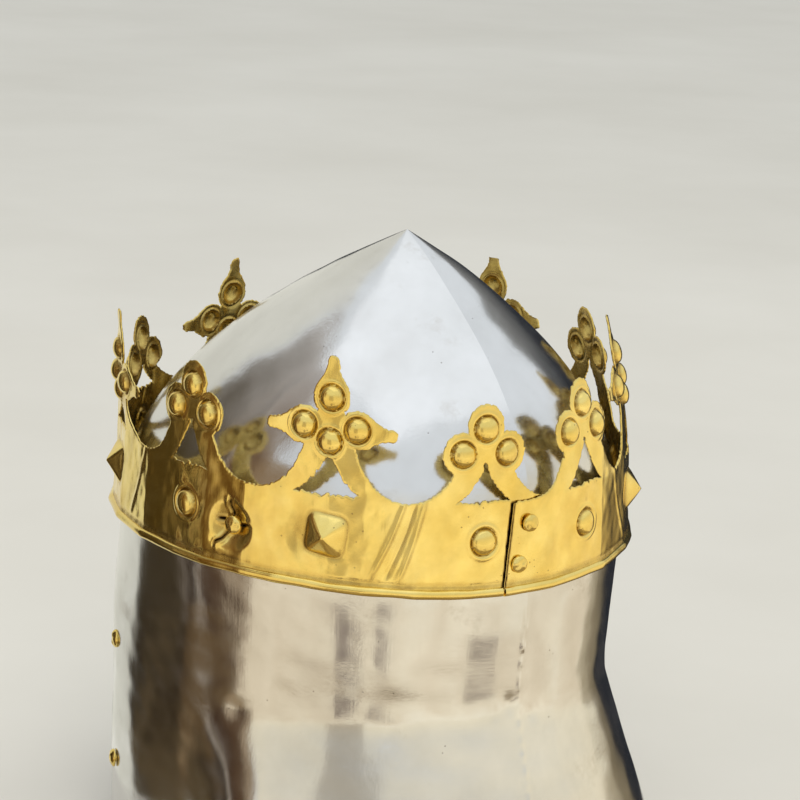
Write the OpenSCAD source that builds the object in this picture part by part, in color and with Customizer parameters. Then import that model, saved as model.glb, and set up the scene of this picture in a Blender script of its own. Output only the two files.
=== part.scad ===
// Crowned steel war helmet with a pierced brass crown, a leather suspension liner and a chin strap.
// Millimetres. +Z is up, the face opening looks along -Y, and the helmet stands on its lower edge at z = 0.
// The angle t runs round the helmet: 0 at the nape, 90 at the wearer's left ear, 180 at the brow.

/* [Skull] */
// Outside width at the crown
skull_w = 207; // [200:1:214]
// Outside length at the crown
skull_l = 231; // [224:1:240]
// Height of the crown's lower edge above the table
rim_z = 150; // [145:1:155]
// Height of the point above the crown's lower edge
dome_h = 128; // [120:1:135]
// How far the point sits behind the middle
apex_back = 20; // [10:1:25]
// Thickness of the steel sheet
sheet_t = 1.6; // [1.2:0.1:2]
// Outward slope of the neck guard
flare_slope = 0.36; // [0.2:0.02:0.4]

/* [Face opening] */
// Angle t of the cheek edges
edge_t = 119; // [117:1:122]
// Height of the brow edge
brow_z = 132; // [128:1:134]

/* [Crown] */
// Gap between the skull and the crown's outer face at its lower edge
crown_off = 4.3; // [4.2:0.1:4.8]
// Thickness of the brass sheet
crown_t = 0.9; // [0.8:0.1:1]
// Height of the plain band
band_h = 38; // [35:1:40]
// Inward lean per millimetre of height
crown_lean = 0.05; // [0:0.01:0.06]
// Angle t of the two trefoils beside the seam
first_t = 12.3; // [12:0.1:13]
// Angle t of the seam's outer edge
seam_t = 6.4; // [6:0.1:7]

/* [Liner and strap] */
// Thickness of the liner band
band_leather_t = 2.5; // [2:0.1:3]
// Thickness of the chin strap
strap_t = 2.2; // [2:0.1:2.4]
// Width of the chin strap
strap_w = 20; // [18:1:22]
// Height of the strap rivets
pivot_z = 156; // [155:1:157]

/* [Hidden] */

steel = "gainsboro";
brass = "goldenrod";
leather = "saddlebrown";
$fn = 32;

// ---- Skull surface ----
rx = skull_w / 2;
ry = skull_l / 2;
waist_drop = 55;        // nape crease, below the crown's lower edge
waist_sag = 12;         // how much lower the crease lies at the ears
waist_round = 6;        // softness of the crease
flare_end = 82;         // t where the neck guard has died away
flare_full = 55;        // t up to which it is full
wall_taper = 3;
cheek_spread = 5;
dome_power = 2.1;

function smooth(x) = let (c = min(max(x, 0), 1)) c * c * (3 - 2 * c);
function dome_s(z) = max(0, (z - rim_z) / dome_h);
function dome_g(z) = 1 - pow(dome_s(z), dome_power);
function dome_y(z) = apex_back * pow(dome_s(z), 1.4);
function waist_z(t) = rim_z - waist_drop - waist_sag * pow(min(t, 80) / 75, 2);
function soft_ramp(d) = (d + sqrt(d * d + waist_round * waist_round)) / 2;
function flare(t, z) = flare_slope * (1 - smooth((t - flare_full) / (flare_end - flare_full)))
    * soft_ramp(waist_z(t) - z);
function wall_off(t, z) = flare(t, z) - wall_taper * smooth((rim_z - z) / 60)
    + cheek_spread * smooth((t - 85) / 30) * smooth((rim_z - z) / 50);
function ridge(t, z) = 1 + (0.008 + 0.05 * smooth(1.5 * dome_s(z))) * exp(-min(t, 180 - t) / 14);
function oval_normal(t) = let (n = [sin(t) / rx, cos(t) / ry]) n / norm(n);

// Point of the skull's outer face at angle t (0 to 180) and height z
function skull(t, z) =
    let (o = z < rim_z ? wall_off(t, z) : 0, n = oval_normal(t), k = ridge(t, z) * dome_g(z))
    [k * rx * sin(t) + o * n[0], k * ry * cos(t) + o * n[1] + dome_y(z), z];

function skull_normal(t, z) =
    let (dt = t > 90 ? -0.5 : 0.5, dz = -0.5,
         a = (skull(t + dt, z) - skull(t, z)) * sign(dt),
         b = (skull(t, z + dz) - skull(t, z)) * sign(dz),
         n = cross(b, a))
    n / norm(n);

// The same point moved inwards by d, kept in the middle plane where the halves meet
function inside(t, z, d) =
    let (p = skull(t, z) - d * skull_normal(t, z)) [t == 0 || t == 180 ? 0 : p[0], p[1], p[2]];

// ---- Skull halves: columns start on the lower edge and rise to the point ----
cols_bottom = 20;
cols_side = 6;
cols_corner = 5;
cols_brow = 5;
cols = cols_bottom + cols_side + cols_corner + cols_brow;
rows_wall = 14;
rows_dome = 13;
rows = rows_wall + rows_dome;
corner_t = 27;
corner_z = 38;

function edge_point(i) =
    i <= cols_bottom ? [edge_t * i / cols_bottom, 0]
    : i <= cols_bottom + cols_side
        ? [edge_t, (brow_z - corner_z) * (i - cols_bottom) / cols_side]
    : i <= cols_bottom + cols_side + cols_corner
        ? let (a = 90 * (i - cols_bottom - cols_side) / cols_corner)
          [edge_t + corner_t * (1 - cos(a)), brow_z - corner_z * (1 - sin(a))]
    : let (f = (i - cols + cols_brow) / cols_brow)
      [edge_t + corner_t + (180 - edge_t - corner_t) * f, brow_z];

function grid_tz(i, j) =
    let (e = edge_point(i), top_t = 180 * i / cols)
    j <= rows_wall
        ? let (v = j / rows_wall) [e[0] + (top_t - e[0]) * v, e[1] + (rim_z - e[1]) * v]
        : [top_t, rim_z + dome_h * (1 - pow(1 - (j - rows_wall) / rows_dome, 1.5))];

module half_shell() {
    per = cols + 1;
    outer = [for (j = [0 : rows - 1]) for (i = [0 : cols]) let (g = grid_tz(i, j)) skull(g[0], g[1])];
    inner = [for (j = [0 : rows - 1]) for (i = [0 : cols])
        let (g = grid_tz(i, j), p = inside(g[0], g[1], sheet_t)) [p[0], p[1], j == 0 && g[1] == 0 ? 0 : p[2]]];
    apex = [0, apex_back, rim_z + dome_h];
    m = len(outer);
    top = (rows - 1) * per;
    points = concat(outer, inner, [apex, apex - [0, 0, 1.9 * sheet_t]]);
    skin = [for (j = [0 : rows - 2]) for (i = [0 : cols - 1]) let (a = j * per + i)
        each [[a, a + 1, a + per + 1], [a, a + per + 1, a + per]]];
    cap = [for (i = [0 : cols - 1]) [top + i, top + i + 1, 2 * m]];
    hem = [for (i = [0 : cols - 1]) each [[i, m + i, m + i + 1], [i, m + i + 1, i + 1]]];
    rear = [for (j = [0 : rows - 2]) let (a = j * per)
        each [[a, a + per, m + a + per], [a, m + a + per, m + a]]];
    front = [for (j = [0 : rows - 2]) let (a = j * per + cols)
        each [[a, m + a + per, a + per], [a, m + a, m + a + per]]];
    faces = concat(
        skin, cap, hem, rear, front,
        [for (f = skin) [f[0] + m, f[2] + m, f[1] + m]],
        [for (f = cap) [f[0] + m, 2 * m + 1, f[1] + m]],
        [[top, 2 * m, 2 * m + 1], [top, 2 * m + 1, m + top],
         [top + cols, 2 * m + 1, 2 * m], [top + cols, m + top + cols, 2 * m + 1]]);
    polyhedron(points = points, faces = faces);
}

// ---- Places of the rivets ----
mount_h = 19;                    // crown rivets, above the crown's lower edge
mounts = [[67, 2.7], [133, 4.1]];       // angle t and depth of the dent round each
cheek_t = 113;
cheek_zs = [38, 93];
brow_t = 158;
brow_rivet_z = 141;
shank_r = 1.75;
hole_r = 1.9;
pin_r = 2;
pin_hole_r = 2.06;

function dir_angle(n) = atan2(n[1], n[0]);

// Puts a child's +Z along the outward horizontal normal at angle t; its +Y stays up
module facing(p, angle) translate(p) rotate([90, 0, angle + 90]) children();
module on_skull(t, z) facing(skull(t, z), dir_angle(oval_normal(t))) children();
wall_x = skull(90, pivot_z)[0];
module at_pivot() facing([wall_x, 0, pivot_z], 0) children();
module each_side() {
    children();
    mirror([1, 0, 0]) children();
}

// Round-headed rivet: the head's underside is at z = 0 and the peened tail ends at -grip - tail_h
module rivet(head_r, head_h, r, grip, tail_r = 3, tail_h = 1.1) {
    cap_r = (head_r * head_r + head_h * head_h) / (2 * head_h);
    intersection() {
        translate([0, 0, head_h - cap_r]) sphere(r = cap_r);
        cylinder(r = head_r + 0.5, h = head_h + 1);
    }
    translate([0, 0, -grip]) cylinder(r = r, h = grip + 0.4);
    translate([0, 0, -grip - tail_h]) cylinder(r = tail_r, h = tail_h);
}
module burr(r_out, r_in, h) difference() {
    cylinder(r = r_out, h = h);
    translate([0, 0, -1]) cylinder(r = r_in, h = h + 2);
}

module skull_half() difference() {
    half_shell();
    mount_holes();
    for (z = cheek_zs) on_skull(cheek_t, z) cylinder(r = hole_r, h = 16, center = true);
    on_skull(brow_t, brow_rivet_z) cylinder(r = hole_r, h = 16, center = true);
    at_pivot() cylinder(r = pin_hole_r, h = 16, center = true);
}
module left_skull_half() color(steel) skull_half();
module right_skull_half() color(steel) mirror([1, 0, 0]) skull_half();

// ---- Crown ----
crx = rx + crown_off;
cry = ry + crown_off;
crown_h = 94;
crown_steps = 90;
ornament_step = (180 - first_t) / 5;
cross_ts = [for (k = [1, 3]) first_t + ornament_step * k];
trefoil_ts = [for (k = [0, 2, 4]) first_t + ornament_step * k];
bead_r = 2.1;
boss_h = 23;            // bosses and studs, above the lower edge
pearl_r = 5;
stud_h = 6;
dent_r = 11;
dent_flat = 5;
seam_rivets = [[1.4, 29], [4, 13]];      // angle t and height of each
lap_t = 2.4;             // middle of the hidden layer under the seam
lap_w = 26;

function crown_point(t, h, off = 0) =
    [(crx - crown_lean * h + off) * sin(t), (cry - crown_lean * h + off) * cos(t), rim_z + h];
function crown_normal(t) = [sin(t) / crx, cos(t) / cry];
function along(t, u) = t - u / norm([crx * cos(t), cry * sin(t)]) * 180 / PI;
module on_crown(t, h, u = 0)
    let (a = along(t, u)) facing(crown_point(a, h), dir_angle(crown_normal(a))) children();
module mount_holes() for (m = mounts)
    on_crown(m[0], mount_h) translate([0, 0, -24]) cylinder(r = hole_r, h = 28);
module oval2d(off) polygon([for (k = [0 : crown_steps - 1]) let (a = 360 * k / crown_steps)
    [(crx + off) * sin(a), (cry + off) * cos(a)]]);

module crown_wall(off, thick, h) translate([0, 0, rim_z])
    linear_extrude(height = h, slices = 1, scale = [1 - crown_lean * h / crx, 1 - crown_lean * h / cry])
        difference() {
            oval2d(off);
            oval2d(off - thick);
        }

scoop_r = 23;
scoop_u = 33.3;
module legs2d(top_v, apex_v, base_u) difference() {
    translate([-scoop_u, -2]) square([2 * scoop_u, top_v + 2]);
    for (s = [-1, 1]) translate([s * scoop_u, scoop_r]) circle(scoop_r, $fn = 28);
    polygon([[-base_u, 1], [0, apex_v], [base_u, 1]]);
}
module tip2d() polygon([[-6.5, 3.5], [-2.4, 10], [-1.8, 16], [1.8, 16], [2.4, 10], [6.5, 3.5]]);

cross_pearls = [[0, 38], [-11.2, 26], [11.2, 26], [0, 20.5]];
trefoil_pearls = [[0, 29.5], [-9.8, 19.5], [9.8, 19.5]];
module cross2d() {
    legs2d(24, 15, 13.5);
    for (p = cross_pearls) translate(p) circle(7.4, $fn = 14);
    translate([0, 28]) circle(7, $fn = 8);
    translate([0, 38]) tip2d();
    for (s = [-1, 1]) translate([s * 11.2, 26]) rotate(-90 * s) tip2d();
}
module trefoil2d() {
    legs2d(18, 10, 10.5);
    for (p = trefoil_pearls) translate(p) circle(8.4, $fn = 16);
    translate([0, 18]) circle(8, $fn = 8);
}
module ornament(t) on_crown(t, band_h) translate([0, 0, -14]) linear_extrude(20) children();

// Embossed details: drawn as raised solids on the sheet
module pearl() hull() {
    translate([0, 0, -0.5]) cylinder(r1 = pearl_r, r2 = 0.82 * pearl_r, h = 2.3, $fn = 10);
    translate([0, 0, 1.8]) cylinder(r1 = 0.82 * pearl_r, r2 = 0.4 * pearl_r, h = 1.3, $fn = 10);
}
module stud() hull() {
    translate([-8, -8, -0.5]) cube([16, 16, 0.3]);
    translate([-1, -1, 0]) cube([2, 2, stud_h]);
}
module dent(depth) difference() {
    hull() {
        translate([0, 0, -depth - crown_t]) cylinder(r = dent_flat, h = 0.1, $fn = 16);
        translate([0, 0, -1]) cylinder(r = dent_r, h = 0.2, $fn = 16);
    }
    hull() {
        translate([0, 0, -depth]) cylinder(r = dent_flat - 0.2, h = 0.1, $fn = 16);
        translate([0, 0, 0.6]) cylinder(r = dent_r + 0.8, h = 0.1, $fn = 16);
    }
    cylinder(r = hole_r + 0.1, h = 20, center = true, $fn = 20);
}
module crown_bead() {
    sides = 6;
    n = crown_steps / 2;
    polyhedron(
        points = [for (k = [0 : n - 1]) for (j = [0 : sides - 1]) let (a = 360 * j / sides)
            crown_point(360 * k / n, bead_r + bead_r * sin(a), -crown_t / 2 + bead_r * cos(a))],
        faces = [for (k = [0 : n - 1]) for (j = [0 : sides - 1])
            let (a = k * sides + j, b = k * sides + (j + 1) % sides, c = (k + 1) % n * sides)
            each [[a, c + (j + 1) % sides, b], [a, c + j, c + (j + 1) % sides]]]);
}
module crown_sheet() {
    intersection() {
        crown_wall(0, crown_t, crown_h);
        union() {
            translate([0, 0, rim_z + bead_r]) cylinder(r = 200, h = band_h - bead_r);
            ornament(180) cross2d();
            each_side() {
                for (t = cross_ts) ornament(t) cross2d();
                for (t = trefoil_ts) ornament(t) trefoil2d();
            }
        }
    }
    crown_bead();
}
module under_layer() intersection() {
    crown_wall(-crown_t - 0.15, crown_t, band_h - 1);
    on_crown(lap_t, 0) translate([-lap_w / 2, bead_r * 2 + 0.5, -20]) cube([lap_w, band_h, 40]);
}
module seam_join() intersection() {
    crown_wall(-0.4, crown_t + 0.4, band_h - 1);
    on_crown(seam_t + 2, 0) translate([-1, bead_r * 2 + 0.5, -20]) cube([2, band_h, 40]);
}
module crown() color(brass) difference() {
    union() {
        difference() {
            crown_sheet();
            on_crown(seam_t, 0) translate([-0.3, 2 * bead_r + 0.3, -8]) cube([0.6, 60, 20]);
            each_side() for (m = mounts)
                on_crown(m[0], mount_h) cylinder(r = dent_r - 0.6, h = 20, center = true, $fn = 16);
        }
        under_layer();
        seam_join();
        each_side() for (m = mounts) on_crown(m[0], mount_h) dent(m[1]);
        on_crown(180, boss_h) stud();
        for (p = cross_pearls) on_crown(180, band_h + p[1], p[0]) pearl();
        each_side() {
            for (t = cross_ts) {
                on_crown(t, boss_h) stud();
                for (p = cross_pearls) on_crown(t, band_h + p[1], p[0]) pearl();
            }
            for (t = trefoil_ts) {
                on_crown(t, boss_h) pearl();
                for (p = trefoil_pearls) on_crown(t, band_h + p[1], p[0]) pearl();
            }
        }
    }
    for (r = seam_rivets) on_crown(r[0], r[1]) cylinder(r = hole_r, h = 20, center = true, $fn = 20);
}
module crown_seam_rivets() color(brass) for (r = seam_rivets)
    on_crown(r[0], r[1]) translate([0, 0, 0.35]) rivet(3.6, 2.1, shank_r, 2.45, 2.6, 0.5);

// ---- Liner band and its fastenings ----
lining_gap = 0.35;
band_low = 136;
band_high = 185;
skull_grip = sheet_t + 2 * lining_gap + band_leather_t;
washer_h = 0.8;
fall = 0.6;             // extra reach inwards where the dome leans away from a level rivet

function full_turn(t, z, d) = t <= 180 ? inside(t, z, d) : let (p = inside(360 - t, z, d)) [-p[0], p[1], p[2]];

// Closed ring between two depths below the skull's outer face
module ring_patch(z0, z1, zn, tn, d0, d1) {
    per = 2 * (zn + 1);
    rows_up = [for (j = [0 : zn]) [z0 + (z1 - z0) * j / zn, d0]];
    rows_down = [for (j = [0 : zn]) [z1 - (z1 - z0) * j / zn, d1]];
    profile = concat(rows_up, rows_down);
    polyhedron(
        points = [for (k = [0 : tn - 1]) for (q = profile) full_turn(360 * k / tn, q[0], q[1])],
        faces = [for (k = [0 : tn - 1]) for (j = [0 : per - 1])
            let (a = k * per, b = (k + 1) % tn * per, n = (j + 1) % per)
            each [[a + j, b + j, b + n], [a + j, b + n, a + n]]]);
}
// Closed patch between angles t0 and t1 and depths d0 and d1
module side_patch(t0, t1, tn, z0, z1, zn, d0, d1) {
    per = 2 * (zn + 1);
    profile = concat([for (j = [0 : zn]) [z0 + (z1 - z0) * j / zn, d0]],
                     [for (j = [0 : zn]) [z1 - (z1 - z0) * j / zn, d1]]);
    ends = [for (j = [0 : zn - 1]) each [[j, j + 1, per - 2 - j], [j, per - 2 - j, per - 1 - j]]];
    polyhedron(
        points = [for (k = [0 : tn]) for (q = profile) inside(t0 + (t1 - t0) * k / tn, q[0], q[1])],
        faces = concat(
            [for (k = [0 : tn - 1]) for (j = [0 : per - 1])
                let (a = k * per, b = (k + 1) * per, n = (j + 1) % per)
                each [[a + j, b + j, b + n], [a + j, b + n, a + n]]],
            ends,
            [for (f = ends) [f[0] + tn * per, f[2] + tn * per, f[1] + tn * per]]));
}

module liner_band() color(leather) difference() {
    ring_patch(band_low, band_high, 4, 48, sheet_t + lining_gap, sheet_t + lining_gap + band_leather_t);
    each_side() {
        mount_holes();
        on_skull(brow_t, brow_rivet_z) cylinder(r = hole_r, h = 24, center = true);
        at_pivot() cylinder(r = pin_hole_r, h = 24, center = true);
    }
}

// Crown rivets pass through crown, skull and liner band
module at_mounts() each_side() for (m = mounts)
    on_crown(m[0], mount_h) translate([0, 0, -m[1]]) children();
mount_grip = crown_t + 0.3 + 1.1 * skull_grip + washer_h + 3.2 * fall;
module crown_mount_rivets() color(brass) at_mounts() translate([0, 0, 0.15])
    rivet(4, 2.4, shank_r, mount_grip + 0.15);
module crown_mount_washers() color(brass) at_mounts() translate([0, 0, -mount_grip])
    burr(4.6, shank_r + 0.05, washer_h);

module at_brow() each_side() on_skull(brow_t, brow_rivet_z) children();
brow_grip = skull_grip + washer_h + fall;
module brow_rivets() color(brass) at_brow() translate([0, 0, 0.15]) rivet(3.8, 2, shank_r, brow_grip + 0.15);
module brow_washers() color(brass) at_brow() translate([0, 0, -brow_grip]) burr(4.6, shank_r + 0.05, washer_h);

// ---- Cheek linings ----
cheek_leather_t = 2;
cheek_grip = sheet_t + 2 * lining_gap + cheek_leather_t + washer_h + 0.1;
module at_cheek() for (z = cheek_zs) on_skull(cheek_t, z) children();
module cheek_lining() difference() {
    side_patch(103, 117.4, 4, 14, 130, 12, sheet_t + lining_gap, sheet_t + lining_gap + cheek_leather_t);
    at_cheek() cylinder(r = hole_r, h = 24, center = true);
    translate([rx - 60, -ry, 126]) cube([80, ry, 20]);
}
module cheek_rivets() at_cheek() translate([0, 0, 0.15]) rivet(3.9, 2.2, shank_r, cheek_grip + 0.15);
module cheek_washers() at_cheek() translate([0, 0, -cheek_grip]) burr(4.4, shank_r + 0.05, washer_h);
module left_cheek_lining() color(leather) cheek_lining();
module right_cheek_lining() color(leather) mirror([1, 0, 0]) cheek_lining();
module left_cheek_rivets() color(brass) cheek_rivets();
module right_cheek_rivets() color(brass) mirror([1, 0, 0]) cheek_rivets();
module left_cheek_washers() color(brass) cheek_washers();
module right_cheek_washers() color(brass) mirror([1, 0, 0]) cheek_washers();

// ---- Liner flaps: eight leather gores from the band to the drawcord ----
flaps = 8;
flap_step = 360 / flaps;
flap_half = 20;
flap_t = 2;
flap_low = 176;
flap_rise = 54;
flap_rows = 9;
flap_cols = 6;
flap_off = skull_grip + 0.4;
tip_k = 0.165;
hole_c = 0.9;

function flap_z(b) = b < 0 ? band_high + b * (band_high - flap_low)
    : band_high + flap_rise * (1 - pow(1 - b, 1.5));
function flap_k(b) = b < 0 ? dome_g(flap_z(b)) - flap_off / rx
    : let (k0 = dome_g(band_high) - flap_off / rx) k0 - (k0 - tip_k) * pow(b, 1.25);
// b runs from -1 at the stitched end, past 0 at the band's top, to 1 at the tip
function flap_point(t, b, d) =
    let (k = flap_k(b), z = flap_z(b), e = 0.02, back = b > 0.9 ? -e : e,
         dk = (flap_k(b + back) - k) / back * rx, dz = (flap_z(b + back) - z) / back,
         n = [dz, -dk] / norm([dz, dk]))
    [(k * rx - d * n[0]) * sin(t), (k * ry - d * n[0]) * cos(t) + dome_y(z), z - d * n[1]];
function flap_b(j) = j == 0 ? -1 : (j - 1) / (flap_rows - 1);

module flap(mid) difference() {
    per = 2 * (flap_cols + 1);
    polyhedron(
        points = [for (j = [0 : flap_rows]) for (q = [0 : per - 1])
            let (f = q <= flap_cols ? q : per - 1 - q,
                 round_end = j == flap_rows ? 0.9 : 1,
                 t = mid + flap_half * round_end * (2 * f / flap_cols - 1))
            flap_point(t, flap_b(j), q <= flap_cols ? 0 : flap_t)],
        faces = concat(
            [for (j = [0 : flap_rows - 1]) for (q = [0 : per - 1])
                let (a = j * per, b = (j + 1) * per, n = (q + 1) % per)
                each [[a + q, a + n, b + n], [a + q, b + n, b + q]]],
            [for (q = [0 : flap_cols - 1]) each let (n = per - 1 - q) [[q, n, n - 1], [q, n - 1, q + 1]]],
            [for (q = [0 : flap_cols - 1]) each let (o = flap_rows * per, n = per - 1 - q)
                [[o + q, o + n - 1, o + n], [o + q, o + q + 1, o + n - 1]]]));
    for (s = [-1, 1]) translate(flap_point(mid + s * flap_step / 4, hole_c, 1)) cylinder(r = 2, h = 12, center = true);
}

module liner_flap_1() color(leather) flap(flap_step / 2);
module liner_flap_2() color(leather) flap(1.5 * flap_step);
module liner_flap_3() color(leather) flap(2.5 * flap_step);
module liner_flap_4() color(leather) flap(3.5 * flap_step);
module liner_flap_5() color(leather) flap(4.5 * flap_step);
module liner_flap_6() color(leather) flap(5.5 * flap_step);
module liner_flap_7() color(leather) flap(6.5 * flap_step);
module liner_flap_8() color(leather) flap(7.5 * flap_step);

// ---- Drawcord woven through two holes in each flap ----
cord_r = 0.9;
cord_rings = 96;
cord_lift = 2.4;
function cord_point(t) = let (c = cos(flaps * (t - flap_step / 2)), w = c / sqrt(c * c + 0.15))
    flap_point(t, hole_c, 1) + [0, 0, cord_lift * w];
module liner_drawcord() color("tan") {
    sides = 6;
    polyhedron(
        points = [for (k = [0 : cord_rings - 1])
            let (t = 360 * k / cord_rings, p = cord_point(t), e = cord_point(t + 0.5) - cord_point(t - 0.5),
                 x = e / norm(e), y = [-x[1], x[0], 0] / norm([x[0], x[1]]), z = cross(x, y))
            for (j = [0 : sides - 1]) p + cord_r * (cos(60 * j) * y + sin(60 * j) * z)],
        faces = [for (k = [0 : cord_rings - 1]) for (j = [0 : sides - 1])
            let (a = k * sides, b = (k + 1) % cord_rings * sides, n = (j + 1) % sides)
            each [[a + j, b + n, a + n], [a + j, b + j, b + n]]]);
}

// ---- Chin strap: a loop in the XZ plane that swings on the two strap rivets ----
spacer_h = 1.6;
strap_x = wall_x - skull_grip - 0.7 - spacer_h - 0.1 - strap_t / 2;   // middle of the leather at the rivet
pin_grip = wall_x - strap_x + strap_t / 2 + 0.15 + washer_h;
tab_top = pivot_z + 7.5;
bend_z = pivot_z - 5.5;
lean = 24;                          // of the straight stretch below the bend
buckle_s = 50;                      // heel bar, measured down the straight stretch
frame_l = 20;
far_s = buckle_s + frame_l;
bar_r = 1.6;
wrap = bar_r + 0.1 + strap_t / 2;   // from a bar's centre to the middle of the leather round it
lap = strap_t + 0.2;               // from one layer of leather to the next
tongue_r = 1.1;
eye_r = bar_r + 0.05 + 2 * tongue_r;
strap_low = 13;                     // lowest point of the loop's middle line
low_s = far_s + 14;

// Point s down the straight stretch and q towards the skull
function on_straight(s, q = 0) = [strap_x - s * sin(lean) + q * cos(lean), bend_z - s * cos(lean) - q * sin(lean)];
function bezier(a, b, c, d, u) = pow(1 - u, 3) * a + 3 * u * pow(1 - u, 2) * b + 3 * u * u * (1 - u) * c
    + pow(u, 3) * d;
function heading(path, k) = let (a = path[max(k - 1, 0)], b = path[min(k + 1, len(path) - 1)]) (b - a) / norm(b - a);
function edge(path, k, d) = let (h = heading(path, k)) path[k] + d * [-h[1], h[0]];
function mirrored(path) = [for (p = path) [-p[0], p[1]]];
module strap(path) rotate([90, 0, 0]) linear_extrude(strap_w, center = true) polygon(concat(
    [for (k = [0 : len(path) - 1]) edge(path, k, strap_t / 2)],
    [for (k = [len(path) - 1 : -1 : 0]) edge(path, k, -strap_t / 2)]));
module at_straight(s, q = 0) let (p = on_straight(s, q)) translate([p[0], 0, p[1]]) rotate([0, lean, 0]) children();
module pin_hole(side) translate([side * strap_x, 0, pivot_z]) rotate([0, 90, 0])
    cylinder(r = pin_hole_r, h = 12, center = true);

tab_path = [[strap_x, tab_top], [strap_x, bend_z + 1], on_straight(1)];
curve_steps = 14;
low_curve = [for (k = [0 : curve_steps])
    bezier(on_straight(low_s), on_straight(low_s + 18), [30, strap_low], [0, strap_low], k / curve_steps)];
fold_steps = 8;
fold_path = [for (k = [0 : fold_steps]) let (a = 180 * k / fold_steps)
    on_straight(buckle_s + wrap * sin(a), -wrap + wrap * cos(a))];
tip_path = [on_straight(far_s + 8, -3.4), on_straight(far_s + 4, -2 * wrap), on_straight(far_s, -2 * wrap - 0.2),
    on_straight(far_s - 3, -2 * wrap), on_straight(buckle_s + 5.5, -0.2), on_straight(buckle_s + 2, lap - 0.3),
    on_straight(buckle_s - 1, lap + 0.1), on_straight(buckle_s - 6, lap), on_straight(7, lap)];
module buckle_strap() color(leather) difference() {
    strap(concat(tab_path, fold_path, [on_straight(buckle_s - 11, -lap), on_straight(buckle_s - 24, -lap)]));
    pin_hole(1);
    at_straight(buckle_s) translate([-14, -2, -6]) cube([20, 4, 11]);
}
module long_strap() color(leather) difference() {
    strap(concat(mirrored(tab_path), mirrored(low_curve),
        [for (k = [curve_steps - 1 : -1 : 0]) low_curve[k]], tip_path));
    pin_hole(-1);
    at_straight(buckle_s + 6.3) cube([24, 3.4, 11], center = true);
}
module buckle_frame() color(brass) at_straight(buckle_s, -wrap) {
    rotate([90, 0, 0]) cylinder(r = bar_r, h = 27, center = true);
    translate([0, 0, -frame_l]) rotate([90, 0, 0]) cylinder(r = bar_r, h = 27, center = true);
    for (s = [-1, 1]) translate([0, s * 13.5, 0]) {
        translate([0, 0, -frame_l]) cylinder(r = bar_r, h = frame_l);
        sphere(r = bar_r);
        translate([0, 0, -frame_l]) sphere(r = bar_r);
    }
}
module buckle_tongue() color(brass) at_straight(buckle_s, -wrap) difference() {
    union() {
        rotate([90, 0, 0]) cylinder(r = eye_r, h = 2 * tongue_r, center = true);
        translate([bar_r + tongue_r + 0.1, 0, -frame_l - 2.4]) cylinder(r = tongue_r, h = frame_l + 2.4);
    }
    rotate([90, 0, 0]) cylinder(r = bar_r + 0.05, h = 10, center = true);
}
keeper_w = 7;
keeper_s = buckle_s - 12 - keeper_w / 2;
module strap_keeper() color(leather) at_straight(keeper_s) difference() {
    cube([3 * lap + 3.6, strap_w + 4.4, keeper_w], center = true);
    cube([3 * lap + 0.4, strap_w + 0.8, keeper_w + 2], center = true);
}

// Strap rivets: fixed pins with a flat head under the crown, a spacer on the liner and a washer inside
module left_strap_rivet() color(brass) at_pivot() translate([0, 0, 0.1]) rivet(4, 1.3, pin_r, pin_grip + 0.1, 3.4, 1.1);
module ring_on_pin(x, h) translate([x, 0, pivot_z]) rotate([0, 90, 0]) burr(5, pin_r + 0.05, h);
module strap_spacer() ring_on_pin(strap_x + strap_t / 2 + 0.1, spacer_h);
module strap_washer() ring_on_pin(wall_x - pin_grip, washer_h);
module right_strap_rivet() mirror([1, 0, 0]) left_strap_rivet();
module left_strap_spacer() color(brass) strap_spacer();
module right_strap_spacer() color(brass) mirror([1, 0, 0]) strap_spacer();
module left_strap_washer() color(brass) strap_washer();
module right_strap_washer() color(brass) mirror([1, 0, 0]) strap_washer();

// The origin lies under the middle of the whole helmet's box
front_y = cry - crown_lean * boss_h + stud_h;
shift_y = (front_y - skull(0, 0)[1]) / 2;
module placed() translate([0, shift_y, 0]) children();

placed() left_skull_half();
placed() right_skull_half();
placed() crown();
placed() crown_seam_rivets();
placed() crown_mount_rivets();
placed() crown_mount_washers();
placed() brow_rivets();
placed() brow_washers();
placed() left_cheek_rivets();
placed() right_cheek_rivets();
placed() left_cheek_washers();
placed() right_cheek_washers();
placed() left_cheek_lining();
placed() right_cheek_lining();
placed() liner_band();
placed() liner_drawcord();
placed() left_strap_rivet();
placed() right_strap_rivet();
placed() left_strap_spacer();
placed() right_strap_spacer();
placed() left_strap_washer();
placed() right_strap_washer();
placed() buckle_strap();
placed() long_strap();
placed() buckle_frame();
placed() buckle_tongue();
placed() strap_keeper();
placed() liner_flap_1();
placed() liner_flap_2();
placed() liner_flap_3();
placed() liner_flap_4();
placed() liner_flap_5();
placed() liner_flap_6();
placed() liner_flap_7();
placed() liner_flap_8();
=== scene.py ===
import math

import bpy
import numpy as np
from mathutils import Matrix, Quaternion, Vector


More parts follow.
